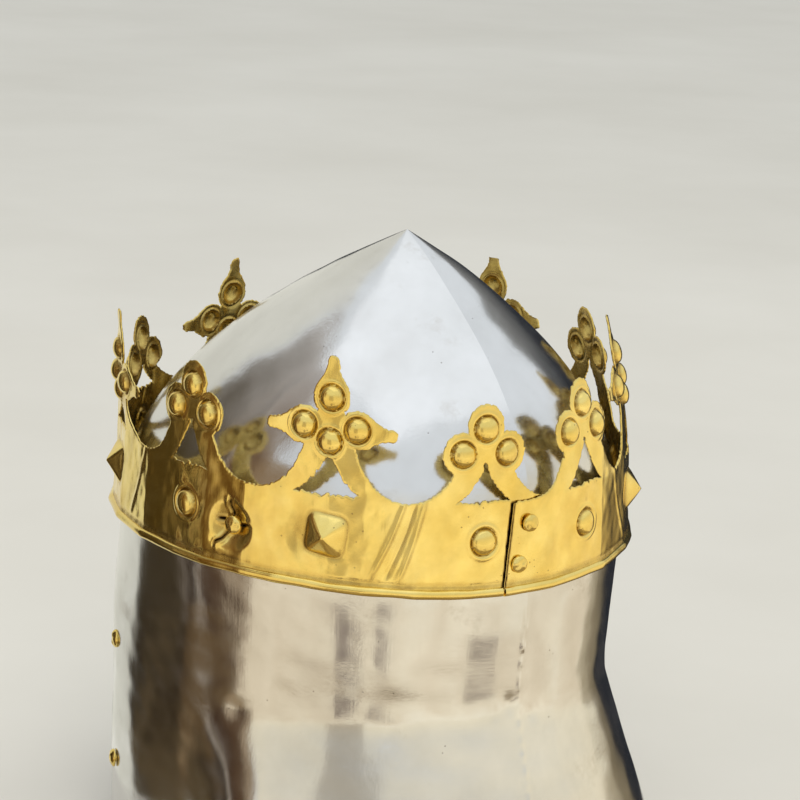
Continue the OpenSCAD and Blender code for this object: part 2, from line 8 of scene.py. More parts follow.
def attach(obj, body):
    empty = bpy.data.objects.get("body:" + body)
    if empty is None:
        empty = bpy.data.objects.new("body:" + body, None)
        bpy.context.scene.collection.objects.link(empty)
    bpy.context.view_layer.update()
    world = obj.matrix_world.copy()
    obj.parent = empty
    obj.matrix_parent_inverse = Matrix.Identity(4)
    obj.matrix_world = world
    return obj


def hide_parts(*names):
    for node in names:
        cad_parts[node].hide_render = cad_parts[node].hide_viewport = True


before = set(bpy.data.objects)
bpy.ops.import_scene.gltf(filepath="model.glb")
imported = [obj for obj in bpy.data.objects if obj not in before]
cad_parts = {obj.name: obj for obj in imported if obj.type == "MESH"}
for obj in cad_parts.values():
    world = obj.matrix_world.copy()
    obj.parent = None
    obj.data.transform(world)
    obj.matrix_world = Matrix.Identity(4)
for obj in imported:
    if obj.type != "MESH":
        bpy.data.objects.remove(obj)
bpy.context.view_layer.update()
MM = 0.001


# ---- Camera ----
VIEW = 55.18  # azimuth of the photo's camera, from +X towards +Y


def add_camera(aim, azimuth, elevation, roll, distance, lens):
    """A positive roll leans the camera to its left."""
    a, e, r = (math.radians(x) for x in (azimuth, elevation, roll))
    back = Vector((math.cos(a) * math.cos(e), math.sin(a) * math.cos(e), math.sin(e)))
    camera = bpy.data.objects.new("camera", bpy.data.cameras.new("camera"))
    camera.data.lens, camera.data.sensor_width = lens, 36
    camera.data.clip_start, camera.data.clip_end = 0.05, 20
    camera.location = (Vector(aim) + back * distance) * MM
    camera.rotation_mode = "QUATERNION"
    camera.rotation_quaternion = Quaternion(back, r) @ (-back).to_track_quat("-Z", "Y")
    bpy.context.scene.collection.objects.link(camera)
    bpy.context.scene.camera = camera


add_camera(aim=(16.1, 32.0, 211.5), azimuth=VIEW, elevation=14.1, roll=2.6, distance=1198, lens=130.4)


# ---- Small mathematics ----
def smooth(x):
    c = np.clip(x, 0, 1)
    return c * c * (3 - 2 * c)


def bump(x, width):
    """A round rise of height 1 and the given half-width at half height."""
    return np.exp(-0.69 * (x / width) ** 2)


def ripple(p, size, seed, waves=12):
    """Smooth noise of about -1 to 1 whose features are about size across."""
    rng = np.random.default_rng(seed)
    total = np.zeros(len(p))
    for _ in range(waves):
        d = rng.normal(size=p.shape[1])
        d *= 2 * math.pi / (size * rng.uniform(0.7, 1.6) * np.linalg.norm(d))
        total += np.sin(p @ d + rng.uniform(0, 6.3))
    return total * (1.4 / waves) ** 0.5 * 0.8


def unit(v):
    return v / np.maximum(np.linalg.norm(v, axis=-1, keepdims=True), 1e-9)


def run_along(points):
    """Distance of each point from the first, along the line."""
    return np.concatenate([[0], np.cumsum(np.linalg.norm(np.diff(points, axis=0), axis=1))])


# ---- Shape of the skull and crown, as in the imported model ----
SHEET_T = 1.6
RX, RY = 103.5, 115.5
RIM_Z, DOME_H, APEX_BACK = 150, 128, 20
EDGE_T, BROW_Z, CORNER_T, CORNER_Z = 119, 132, 27, 38
CRX, CRY = RX + 4.3, RY + 4.3
CROWN_T, BAND_H, LEAN = 0.9, 38, 0.05
SHIFT_Y = -11.504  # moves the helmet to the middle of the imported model's frame
DEGREE = 1.9  # millimetres per degree round the skull


def waist_z(a):
    return RIM_Z - 55 - 12 * (np.minimum(a, 80) / 75) ** 2


def flare(t, z):
    drop = waist_z(t) - z
    return 0.36 * (1 - smooth((t - 55) / 27)) * (drop + np.sqrt(drop * drop + 36)) / 2


def dome_s(z):
    return np.maximum(0, (z - RIM_Z) / DOME_H)


def dome_g(z):
    return 1 - dome_s(z) ** 2.1


def skull(t, z):
    """Point of the skull's outer face; t from -180 to 180, negative on the wearer's right."""
    t, z = np.broadcast_arrays(np.asarray(t, float), np.asarray(z, float))
    side, a = np.sign(t), np.abs(t)
    r = np.radians(a)
    s = dome_s(z)
    crest = 1 + (0.008 + 0.05 * smooth(1.5 * s)) * np.exp(-np.minimum(a, 180 - a) / 14)
    k = crest * dome_g(z)
    low = smooth((RIM_Z - z) / 50)
    off = np.where(z < RIM_Z, flare(a, z) - 3 * smooth((RIM_Z - z) / 60) + 5 * smooth((a - 85) / 30) * low, 0)
    n = out_dir(a)
    x = side * (k * RX * np.sin(r) + off * n[..., 0])
    y = k * RY * np.cos(r) + off * n[..., 1] + APEX_BACK * s**1.4 + SHIFT_Y
    return np.stack([x, y, z], -1)


def out_dir(t, rx=RX, ry=RY):
    """Level outward direction of an oval at angle t."""
    r = np.radians(t)
    return unit(np.stack([np.sin(r) / rx, np.cos(r) / ry, 0 * r], -1))


def skull_normal(t, z):
    a = skull(t + 0.4, z) - skull(t - 0.4, z)
    b = skull(t, z + 0.4) - skull(t, z - 0.4)
    return unit(np.cross(b, a))


def under_skull(t, z, depth):
    return skull(t, z) - skull_normal(t, z) * np.asarray(depth)[..., None]


def crown_point(t, h, off=0):
    """Point of the crown's outer face; the band hangs a little lower beside the seam."""
    r = np.radians(t)
    sag = 2.2 * bump((np.asarray(t) - 12 + 180) % 360 - 180, 32)
    x, y = (CRX - LEAN * h + off) * np.sin(r), (CRY - LEAN * h + off) * np.cos(r)
    return np.stack([x, y + SHIFT_Y, RIM_Z + h - sag], -1)


# ---- Mesh helpers: a part is (points, quads, other faces) ----
def inside_out(verts, faces):
    """True when the faces of a closed mesh look inwards."""
    volume = 0.0
    for size in {len(f) for f in faces}:
        v = verts[np.array([f for f in faces if len(f) == size])]
        for k in range(1, size - 1):
            volume += (v[:, 0] * np.cross(v[:, k], v[:, k + 1])).sum()
    return volume < 0


def add_piece(name, part, look, node=(), body="helmet", flat=0.9, **marks):
    """A mesh object in metres, riding on its body; marks are numbers per point for the material."""
    verts, quads, others = part
    if inside_out(verts, [*quads.tolist(), *others]):
        quads, others = quads[:, ::-1], [f[::-1] for f in others]
    sizes = np.array([4] * len(quads) + [len(f) for f in others], dtype=np.int64)
    me = bpy.data.meshes.new(name)
    me.vertices.add(len(verts))
    me.vertices.foreach_set("co", (verts * MM).ravel())
    me.loops.add(int(sizes.sum()))
    me.loops.foreach_set("vertex_index", np.concatenate([quads.ravel(), *others]).astype(np.int64))
    me.polygons.add(len(sizes))
    me.polygons.foreach_set("loop_start", np.cumsum(sizes) - sizes)
    me.polygons.foreach_set("loop_total", sizes)
    me.update(calc_edges=True)
    me.validate()
    me.shade_smooth()
    me.set_sharp_from_angle(angle=flat)
    me.materials.append(look)
    for mark, values in marks.items():
        layer = me.attributes.new(mark, "FLOAT", "POINT")
        layer.data.foreach_set("value", np.broadcast_to(values, len(verts)).astype(np.float32))
    o = bpy.data.objects.new(name, me)
    bpy.context.scene.collection.objects.link(o)
    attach(o, body)
    if node:
        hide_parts(*([node] if isinstance(node, str) else node))


def cut_grid(xs, ys, inside):
    """Clips the grid xs by ys to inside(x, y) > 0, where inside gives millimetres to the outline.

    Returns points, quads, other faces, outline edges and the outward direction at each point."""
    e = 0.05

    def slope(x, y):
        return np.stack([inside(x + e, y) - inside(x - e, y), inside(x, y + e) - inside(x, y - e)], -1)

    grid = np.stack(np.meshgrid(xs, ys, indexing="ij"), -1)
    s = inside(grid[..., 0], grid[..., 1])
    # grid points close to the outline move onto it
    near = np.abs(s) < 0.32 * np.minimum(np.gradient(xs)[:, None], np.gradient(ys)[None, :])
    g = slope(*grid[near].T) / (2 * e)
    grid[near] -= s[near, None] * g / np.maximum((g * g).sum(-1), 0.25)[:, None]
    s[near] = 0
    nx, ny = s.shape
    corners = [(slice(i, nx - 1 + i), slice(j, ny - 1 + j)) for i, j in ((0, 0), (1, 0), (1, 1), (0, 1))]
    some = np.any([s[c] > 0 for c in corners], axis=0)
    full = some & np.all([s[c] >= 0 for c in corners], axis=0)
    used = np.zeros(s.shape, bool)
    for c in corners:
        used[c] |= full
    faces, crossings = [], {}
    for i, j in np.argwhere(some & ~full):
        ring = [(i, j), (i + 1, j), (i + 1, j + 1), (i, j + 1)]
        face = []
        for a, b in zip(ring, ring[1:] + ring[:1]):
            if s[a] >= 0:
                face.append(a)
                used[a] = True
            if s[a] * s[b] < 0:
                face.append((min(a, b), max(a, b)))
                crossings[face[-1]] = None
        if len(face) > 2:
            faces.append(face)
    index = np.full(s.shape, -1)
    index[used] = np.arange(used.sum())
    numbers = {edge: int(used.sum()) + k for k, edge in enumerate(crossings)}
    a, b = (tuple(end.T) for end in np.array(list(crossings), dtype=int).reshape(-1, 2, 2).swapaxes(0, 1))
    pts = np.concatenate([grid[used], grid[a] + (s[a] / (s[a] - s[b]))[:, None] * (grid[b] - grid[a])])
    quads = np.stack([index[c][full] for c in corners], -1)
    others = [[numbers[v] if v in numbers else int(index[v]) for v in face] for face in faces]
    # the outline's edges belong to one face only
    loops = [quads] + [np.array([f]) for f in others]
    edges = np.concatenate([np.stack([f, np.roll(f, -1, 1)], -1).reshape(-1, 2) for f in loops])
    low, high = np.sort(edges, 1).T
    _, first, counts = np.unique(low * len(pts) + high, return_index=True, return_counts=True)
    return pts, quads, others, edges[first[counts == 1]], -unit(slope(*pts.T))


def thicken(cut, place, thick, loops=3):
    """Front and back faces place(points, depth) joined round the outline by a rounded edge."""
    pts, quads, others, rim, out = cut
    n, order = len(pts), np.unique(rim)
    verts, rings = [place(pts, 0), place(pts, thick)], [order]
    for k in range(1, loops + 1):
        a = math.pi * k / (loops + 1)
        edge = pts[order] + out[order] * (thick / 2 * math.sin(a))
        verts.append(place(edge, thick / 2 * (1 - math.cos(a))))
        rings.append(2 * n + (k - 1) * len(order) + np.arange(len(order)))
    rings.append(order + n)
    a, b = np.searchsorted(order, rim).T
    walls = [np.stack([lo[b], lo[a], hi[a], hi[b]], -1) for lo, hi in zip(rings, rings[1:])]
    quads = np.concatenate([quads, quads[:, ::-1] + n, *walls])
    return np.concatenate(verts), quads, others + [[v + n for v in f[::-1]] for f in others]


def ring_quads(rows, cols, closed=True):
    """Quads of a grid whose rows are rings; closed joins the last row to the first."""
    i = np.arange(rows if closed else rows - 1)[:, None]
    j = np.arange(cols)[None, :]
    k, m = (i + 1) % rows, (j + 1) % cols
    return np.stack([i * cols + j, k * cols + j, k * cols + m, i * cols + m], -1).reshape(-1, 4)


def capped(rings, ends):
    """A skin over a stack of rings, closed by a fan to a point at either end."""
    rows, cols = rings.shape[:2]
    top, last = rows * cols, (rows - 1) * cols
    fans = [[top, k, (k + 1) % cols] for k in range(cols)]
    fans += [[top + 1, last + (k + 1) % cols, last + k] for k in range(cols)]
    return np.concatenate([rings.reshape(-1, 3), ends]), ring_quads(rows, cols, False), fans


def tube(path, radius, sides=10, closed=False, up=(0, 0, 1)):
    """Tube along path points; radius may be one number or one per point."""
    n = len(path)
    along = unit(np.roll(path, -1, 0) - np.roll(path, 1, 0) if closed else np.gradient(path, axis=0))
    side = unit(np.cross(along, np.asarray(up, float)))
    top = np.cross(side, along)
    r = np.broadcast_to(radius, (n,))[:, None, None]
    a = np.linspace(0, 2 * math.pi, sides, endpoint=False)[None, :, None]
    verts = path[:, None] + r * (np.cos(a) * side[:, None] + np.sin(a) * top[:, None])
    caps = [] if closed else [list(range(sides)), [n * sides - 1 - q for q in range(sides)]]
    return verts.reshape(-1, 3), ring_quads(n, sides, closed), caps


def join(parts):
    """Several parts as one."""
    verts, quads, others, base = [], [], [], 0
    for v, q, o in parts:
        verts.append(v)
        quads.append(q + base)
        others += [[x + base for x in f] for f in o]
        base += len(v)
    return np.concatenate(verts), np.concatenate(quads), others


def lathe(profile, sides=28):
    """Turned solid about +Z from (radius, height) pairs that start and end on the axis."""
    a = np.linspace(0, 2 * math.pi, sides, endpoint=False)
    r, z = np.array(profile[1:-1], float).T[:, :, None]
    rings = np.stack([r * np.cos(a), r * np.sin(a), z + 0 * a], -1)
    return capped(rings, [[0, 0, profile[0][1]], [0, 0, profile[-1][1]]])


def stand(part, base, out):
    """Moves a part so that its +Z points along out and its +Y stays near up."""
    x = unit(np.cross([0, 0, 1], out))
    verts, quads, others = part
    return verts @ np.stack([x, np.cross(out, x), out]) + base, quads, others


# ---- Materials ----
class Look:
    """A material being made, with short ways to add and join shader nodes."""

    def __init__(self, name, **base):
        self.material = bpy.data.materials.new(name)
        self.material.use_nodes = True
        self.tree = self.material.node_tree
        self.shader = self.tree.nodes["Principled BSDF"]
        for key, value in base.items():
            self.shader.inputs[key.replace("_", " ")].default_value = value

    def feed(self, socket, value):
        """Gives a socket another node's output, or a number or colour of its own."""
        if isinstance(value, bpy.types.NodeSocket):
            self.tree.links.new(value, socket)
        elif isinstance(value, tuple) and socket.type == "RGBA":
            socket.default_value = (*value, 1)
        else:
            socket.default_value = value

    def add(self, kind, inputs, **settings):
        """A node whose inputs are keyed by socket name or number."""
        made = self.tree.nodes.new("ShaderNode" + kind)
        for key, value in settings.items():
            setattr(made, key, value)
        for key, value in inputs.items():
            self.feed(made.inputs[key], value)
        return made.outputs

    def where(self):
        return self.add("TexCoord", {})["Object"]

    def mark(self, name):
        return self.add("Attribute", {}, attribute_name=name)["Fac"]

    def noise(self, scale, stretch=(1, 1, 1), detail=4, rough=0.55):
        mapped = self.add("Mapping", {"Vector": self.where(), "Scale": stretch})[0]
        inputs = {"Vector": mapped, "Scale": scale, "Detail": detail, "Roughness": rough}
        return self.add("TexNoise", inputs)[0]

    def ramp(self, fac, stops):
        r = self.tree.nodes.new("ShaderNodeValToRGB")
        self.feed(r.inputs[0], fac)
        while len(r.color_ramp.elements) < len(stops):
            r.color_ramp.elements.new(0.5)
        for el, (pos, colour) in zip(r.color_ramp.elements, stops):
            el.position = pos
            el.color = (*colour, 1) if isinstance(colour, tuple) else (colour, colour, colour, 1)
        return r.outputs[0]

    def mix(self, fac, a, b):
        return self.add("Mix", {0: fac, 6: a, 7: b}, data_type="RGBA")[2]

    def calc(self, operation, *values):
        return self.add("Math", dict(enumerate(values)), operation=operation)[0]

    def times(self, a, b, plus=0.0):
        return self.calc("MULTIPLY_ADD", a, b, plus)

    def specks(self, scale, size):
        """1 in small scattered dots, 0 elsewhere."""
        v = self.add("TexVoronoi", {"Vector": self.where(), "Scale": scale})["Distance"]
        dots = self.calc("LESS_THAN", v, size)
        return self.times(dots, self.calc("GREATER_THAN", self.noise(scale * 0.23), 0.56))

    def finish(self, tone, rough, *layers):
        """Colour, roughness, and bumps of (height, strength, distance in metres) one over another."""
        self.feed(self.shader.inputs["Base Color"], tone)
        self.feed(self.shader.inputs["Roughness"], rough)
        below = {}
        for height, strength, distance in layers:
            made = self.add("Bump", {"Strength": strength, "Distance": distance, "Height": height, **below})
            below = {"Normal": made[0]}
        if below:
            self.feed(self.shader.inputs["Normal"], below["Normal"])
        return self.material


def make_steel():
    look = Look("polished_steel", Metallic=1.0)
    cloud = look.noise(22, detail=6)
    fine = look.noise(160, detail=5, rough=0.65)
    upright = look.noise(900, (1, 1, 0.03), detail=2)
    level = look.noise(800, (0.04, 0.8, 1.2), detail=2)
    tone = look.ramp(cloud, [(0.3, (0.64, 0.63, 0.61)), (0.55, (0.73, 0.725, 0.71)),
                             (0.75, (0.79, 0.785, 0.775))])
    stain = look.ramp(look.noise(34, detail=8, rough=0.7), [(0.58, 0.0), (0.76, 1.0)])
    tone = look.mix(look.times(stain, 0.35), tone, (0.42, 0.36, 0.28))
    pits = look.specks(230, 0.08)
    tone = look.mix(look.times(pits, 0.5), tone, (0.16, 0.13, 0.10))
    satin = look.times(stain, 0.12, look.times(fine, 0.14, 0.09))
    return look.finish(tone, satin, (cloud, 0.11, 0.002), (upright, 0.08, 0.0002), (level, 0.09, 0.0002),
                       (look.times(pits, -1), 0.2, 0.0003))


def make_brass():
    look = Look("brass", Metallic=1.0)
    cloud = look.noise(45, detail=6, rough=0.6)
    fine = look.noise(260, detail=5, rough=0.7)
    scratch = look.noise(1000, (1, 1, 0.05), detail=2)
    tone = look.ramp(cloud, [(0.3, (0.83, 0.60, 0.15)), (0.55, (0.925, 0.715, 0.225)),
                             (0.75, (0.975, 0.79, 0.30))])
    # dark olive-brown in the marked places: tarnish in the hollows, together with painted shade in recesses,
    # creases and round the pearls
    dirt_and_shade_level = look.times(look.mark("hollow"), look.times(fine, 1.2, 0.2))
    tone = look.mix(look.calc("MINIMUM", dirt_and_shade_level, 0.8), tone, (0.23, 0.125, 0.03))
    # painted shadow: near black where the mark is strongest, in the seam gap, the cracks and under the
    # overlapping end
    painted_deep_shadow = look.add("MapRange", {"Value": dirt_and_shade_level, 1: 0.95, 2: 1.5})[0]
    tone = look.mix(painted_deep_shadow, tone, (0.015, 0.009, 0.004))
    tone = look.mix(look.times(look.specks(300, 0.11), 0.5), tone, (0.16, 0.09, 0.03))
    shine = look.times(look.calc("MINIMUM", dirt_and_shade_level, 1.0), 0.25, look.times(fine, 0.22, 0.05))
    return look.finish(tone, shine, (cloud, 0.08, 0.0015), (fine, 0.06, 0.0004), (scratch, 0.12, 0.0002))


def make_leather(name, dark, mid, light, gloss):
    look = Look(name)
    cloud = look.noise(40, detail=6, rough=0.6)
    cells = {"Vector": look.where(), "Scale": 900}
    gaps = look.add("TexVoronoi", cells, feature="DISTANCE_TO_EDGE")["Distance"]
    grain = look.ramp(gaps, [(0.0, 0.0), (0.22, 1.0)])
    pores = look.noise(1400, detail=3)
    tone = look.ramp(cloud, [(0.3, dark), (0.52, mid), (0.74, light)])
    tone = look.mix(look.times(grain, -0.35, 0.35), tone, dark)
    tone = look.mix(look.times(look.mark("edge"), 0.75), tone, tuple(0.45 * c for c in dark))
    rough = look.times(pores, 0.25, gloss)
    return look.finish(tone, rough, (cloud, 0.3, 0.002), (grain, 0.35, 0.0003), (pores, 0.2, 0.0002))


def make_thread(name, colour, scale):
    look = Look(name)
    waves = {"Vector": look.where(), "Scale": scale, "Distortion": 2.0, "Detail": 2.0}
    twist = look.add("TexWave", waves, wave_type="BANDS", bands_direction="DIAGONAL")["Fac"]
    fuzz = look.noise(2200, detail=3)
    tone = look.mix(twist, tuple(0.6 * c for c in colour), colour)
    tone = look.mix(look.times(fuzz, 0.4), tone, tuple(min(1, 1.3 * c) for c in colour))
    return look.finish(tone, look.times(fuzz, 0.2, 0.65), (twist, 0.5, 0.0003), (fuzz, 0.3, 0.0002))


STEEL = make_steel()
BRASS = make_brass()
STRAP_LEATHER = make_leather("strap_leather", (0.045, 0.018, 0.008), (0.10, 0.042, 0.018),
                             (0.17, 0.075, 0.032), 0.38)
LINER_LEATHER = make_leather("liner_leather", (0.20, 0.095, 0.040), (0.33, 0.17, 0.075),
                             (0.44, 0.25, 0.12), 0.48)
THREAD = make_thread("waxed_thread", (0.62, 0.52, 0.36), 900)
CORD = make_thread("liner_cord", (0.50, 0.40, 0.26), 700)


# ---- Skull ----
def edge_columns():
    """Columns from the nape to the brow: where each starts on the lower edge and meets the crown."""
    a = np.linspace(0, 1, 131)[:-1] ** 1.25
    b = np.linspace(0, 1, 33)[:-1]
    c = np.linspace(0, math.pi / 2, 25)[:-1]
    d = 1 - np.linspace(1, 0, 45) ** 1.25
    corner_end = EDGE_T + CORNER_T
    t = np.concatenate([EDGE_T * a, EDGE_T + 0 * b, EDGE_T + CORNER_T * (1 - np.cos(c)),
                        corner_end + (180 - corner_end) * d])
    z = np.concatenate([0 * a, (BROW_Z - CORNER_Z) * b, BROW_Z - CORNER_Z * (1 - np.sin(c)), BROW_Z + 0 * d])
    top = np.concatenate([100 * a, 100 + 30 * b, 130 + 25 * c / (math.pi / 2), 155 + 25 * d])
    return t, z, top


# Angle t, height above the waist, radius and depth of each small dent
DENTS = ((2.5, 4, 3.0, 0.7), (-4, -1, 2.6, 0.6), (6, 1, 2.2, 0.35), (66, 3, 5, 0.8), (-38, 2, 5, 0.4),
         (31, -3, 6, 0.5))


def hammering(p, t, z):
    """Small unevenness of the beaten sheet, in millimetres outwards."""
    off = 0.24 * ripple(p, 46, 3) + 0.085 * ripple(p, 17, 5)
    a = np.abs(t)
    for dent_t, rise, size, deep in DENTS:
        off -= deep * bump(np.hypot((t - dent_t) * DEGREE, z - waist_z(a) - rise), size)
    weld = bump(a * DEGREE, 1.1) * smooth((RIM_Z - z) / 20)
    off += 0.25 * weld * (1 + 0.8 * ripple(np.stack([t * DEGREE, z], -1), 5, 8))
    return off * smooth((RIM_Z + DOME_H - z) / 12)


def make_skull():
    te, ze, top = edge_columns()
    te, top = (np.concatenate([x, -x[-2:0:-1]]) for x in (te, top))
    ze = np.concatenate([ze, ze[-2:0:-1]])
    v = np.linspace(0, 1, 96)[:, None]
    f = v[1:-1]
    t = np.concatenate([te + (top - te) * v, top + 0 * f])
    z = np.concatenate([ze + (RIM_Z - ze) * v, RIM_Z + DOME_H * (1 - (1 - f) ** 1.5) + 0 * top])
    p = skull(t, z)
    n = unit(np.cross(np.roll(p, -1, 1) - np.roll(p, 1, 1), np.gradient(p, axis=0)))
    n *= np.sign((n * out_dir(t)).sum(-1) + n[..., 2] * 0.5)[..., None]
    p = p + n * hammering(p.reshape(-1, 3), t.ravel(), z.ravel()).reshape(t.shape)[..., None]
    inner = p - n * SHEET_T
    inner[np.abs(t) % 180 < 1e-9, 0] = 0
    # the lower edge is turned over a little and rounded, and stands level on the table
    hem = unit(p[0] - p[1])
    turned = []
    for k in (1, 2, 3):
        a = math.pi * k / 4
        turned.append(p[0] - n[0] * SHEET_T / 2 * (1 - math.cos(a)) + hem * 0.5 * math.sin(a))
    low, round_r = ze == 0, 0.35
    for ring in turned:
        ring[low, 2] = np.maximum(ring[low, 2], 0)
    p[0, low, 2] = round_r
    inner[0, low, 2] = np.maximum(inner[0, low, 2], round_r)
    tip = np.array([0, APEX_BACK + SHIFT_Y, RIM_Z + DOME_H])
    part = capped(np.concatenate([p[::-1], turned, inner]), [tip, tip - [0, 0, 1.9 * SHEET_T]])
    add_piece("skull", part, STEEL, ("left_skull_half", "right_skull_half"), flat=1.1)


# ---- Crown: one strip, unrolled as s along it and h up it ----
SEAM_T = 6.4
FIRST_T = 12.3
STEP_T = (180 - FIRST_T) / 5
ANGLES = np.arange(20, -380.01, -0.25)
_along = np.hypot(CRX * np.cos(np.radians(ANGLES[1:])), CRY * np.sin(np.radians(ANGLES[1:])))
RUN = np.concatenate([[0], np.cumsum(_along * math.radians(0.25))])
RUN -= np.interp(-SEAM_T, -ANGLES, RUN)


def arc(t):
    """Millimetres along the strip from the seam's outer edge; t falls from SEAM_T to below -360."""
    return np.interp(-np.asarray(t, float), -ANGLES, RUN)


def arc_t(s):
    return np.interp(s, RUN, ANGLES)


def strip_t(t):
    """The same angle in the strip's own count, where it has not passed the seam."""
    return t if t <= SEAM_T else t - 360


# How each ornament was cut and bent by hand, from the seam to the brow: shift round the crown in degrees,
# extra length of its legs, and inward lean 50 mm up
LEFT_SIDE = [(0, 1.2, 1.5), (0, 2.2, 0), (0, 4.5, 0), (0, -4, -4.5), (0, -6, -5), (-2.4, -1.5, 5)]
RIGHT_SIDE = [(-4.2, 4.5, 6), (0, 5.5, 8), (0, 9, 5), (0, 7, 1), (0, 0, 1)]
# Middle along the strip, whether it is a cross or a trefoil, extra length and lean
ORNAMENTS = [(arc(strip_t(side * (FIRST_T + STEP_T * k) + shift)), k % 2 == 1, rise, lean)
             for side, row in ((1, LEFT_SIDE), (-1, RIGHT_SIDE)) for k, (shift, rise, lean) in enumerate(row)]
CROSS_PEARLS = [(0, 38), (-11.2, 26), (11.2, 26), (0, 20.5)]
TREFOIL_PEARLS = [(0, 29.5), (-9.8, 19.5), (9.8, 19.5)]
PEARL_R, BOSS_R, BOSS_H = 5, 5.3, 23
MOUNT_H = 19
MOUNTS = ((67, 2.7), (133, 4.1))  # angle t on either side, depth of the dent
SEAM_RIVETS = [(1.4, 29), (4, 13)]
STRIP_END = arc(-4.5 - 360)
TUCK_S = arc(-351.5)  # from here on the inner end slips under the outer one
BEAD_H, BEAD_R = 2.1, 2.0


def unrisen(v, rise):
    """Height in the usual ornament of a point at v in one whose legs are longer by rise."""
    return v - rise * smooth(v / 18)


def teeth(x, y, size, seed):
    return ripple(np.stack([x.ravel(), y.ravel()], -1), size, seed, 9).reshape(x.shape)


def disc(u, v, cu, cv, ru, rv=None):
    return ru - np.hypot(u - cu, (v - cv) * ru / (rv or ru))


def club(a, b):
    """Tip beyond a lobe: a runs outwards from the lobe's centre, b across it."""
    width = np.interp(a, [3.5, 6, 8.5, 11, 13.5, 15, 16.2], [7.0, 5.3, 3.6, 2.5, 2.15, 2.1, 1.3])
    return np.minimum(np.minimum(width - np.abs(b), 16.2 - a), a - 2)


def ornament_field(u, v, cross):
    """Millimetres inside an ornament's outline; v is above the band."""
    top, apex, base = (25, 17, 15) if cross else (22, 15.5, 12.5)
    side, notch_r, leg_r = 33.3, 23, 34
    body = np.minimum(side - np.abs(u), top - v)
    body = np.minimum(body, np.hypot(np.abs(u) - side, v - notch_r) - notch_r)
    # the triangle between the legs has round sides that bulge inwards
    half = math.hypot(base, apex - 1) / 2
    far = math.sqrt(leg_r * leg_r - half * half) / (2 * half)
    cx, cy = base / 2 + (apex - 1) * far, (1 + apex) / 2 + base * far
    hole = np.minimum(np.hypot(np.abs(u) - cx, v - cy) - leg_r, v - 1 + 0.5 * teeth(u, v, 4, 91))
    body = np.minimum(body, -np.maximum(hole, disc(u, v, 0, apex - 0.6, 1.3)))
    if cross:
        shapes = [disc(u, v, cu, cv, 7.4 if cv > 22 else 6.3) for cu, cv in CROSS_PEARLS]
        shapes += [disc(u, v, 0, 28, 7), club(v - 38, u)]
        shapes += [club(s * u - 11.2, v - 26 + 0.08 * (s * u - 11.2)) for s in (-1, 1)]
    else:
        shapes = [disc(u, v, cu, cv, 8.3) for cu, cv in TREFOIL_PEARLS[1:]]
        shapes += [disc(u, v, 0, 30.2, 7.7, 8.8), disc(u, v, 0, 22.5, 6.5)]
    return np.maximum(body, np.max(shapes, axis=0))


def seam_edge(h):
    """The outer end is cut on a slant."""
    return 1.9 * (h / BAND_H * 2 - 1)


def crown_inside(s, h):
    """Millimetres inside the outline of the unrolled crown."""
    v = h - BAND_H
    body = np.minimum(BAND_H - h, h - BEAD_H)
    for middle, cross, rise, _ in ORNAMENTS:
        u = s - middle
        near = (np.abs(u) < 36) & (v > -2)
        body[near] = np.maximum(body[near], ornament_field(u[near], unrisen(v[near], rise), cross))
    burr = 0.20 * teeth(s, h, 2.6, 17) + 0.17 * teeth(s, h, 1.4, 18)
    body = body + burr * smooth((h - 20) / 12)
    body = np.minimum(body, s - seam_edge(h) + 0.05 * teeth(s, h, 3, 77))
    return np.minimum(body, STRIP_END - s)


def pearl(r, radius, height):
    """Punched dome with a chased ring round it."""
    dome = height * np.sqrt(np.clip(1 - (r / radius) ** 2, 0, 1))
    return dome - 0.35 * bump(r - radius - 0.2, 0.35) + 0.3 * bump(r - radius - 1.4, 0.5)


MEAN_R = 113  # of the band
# Places along the strip where it was bent
BENDS = [0, 21, 55, 83, 100, 122, 150, 171, 204, 236, 262, 300, 333, 361, 395, 424, 452, 487, 512, 541, 566,
         583, 603, 618, 641, 655, 676, 699, 722, 760]


def band_flats(s):
    """The band is nearly flat between its bends, so it lies inside the oval there."""
    k = np.clip(np.searchsorted(BENDS, s, "right") - 1, 0, len(BENDS) - 2)
    a, b = np.take(BENDS, k), np.take(BENDS, k + 1)
    return -0.72 * (s - a) * (b - s) / (2 * MEAN_R)


# Rays of the cracked patch: direction in radians and reach
CRACKS = ((1.7, 13), (0.15, 11), (-2.3, 14), (2.9, 9))
# Creases across the band: angle t, slant and height of the fold
CREASES = ((25.6, 0.22, 0.5), (27.6, 0.26, -0.5), (29.8, 0.30, 0.45), (-30, -0.3, 0.35), (95, 0.3, 0.4),
           (-62, -0.4, 0.4), (-95, 0.2, 0.4), (147, -0.3, 0.35), (-150, 0.3, 0.35))


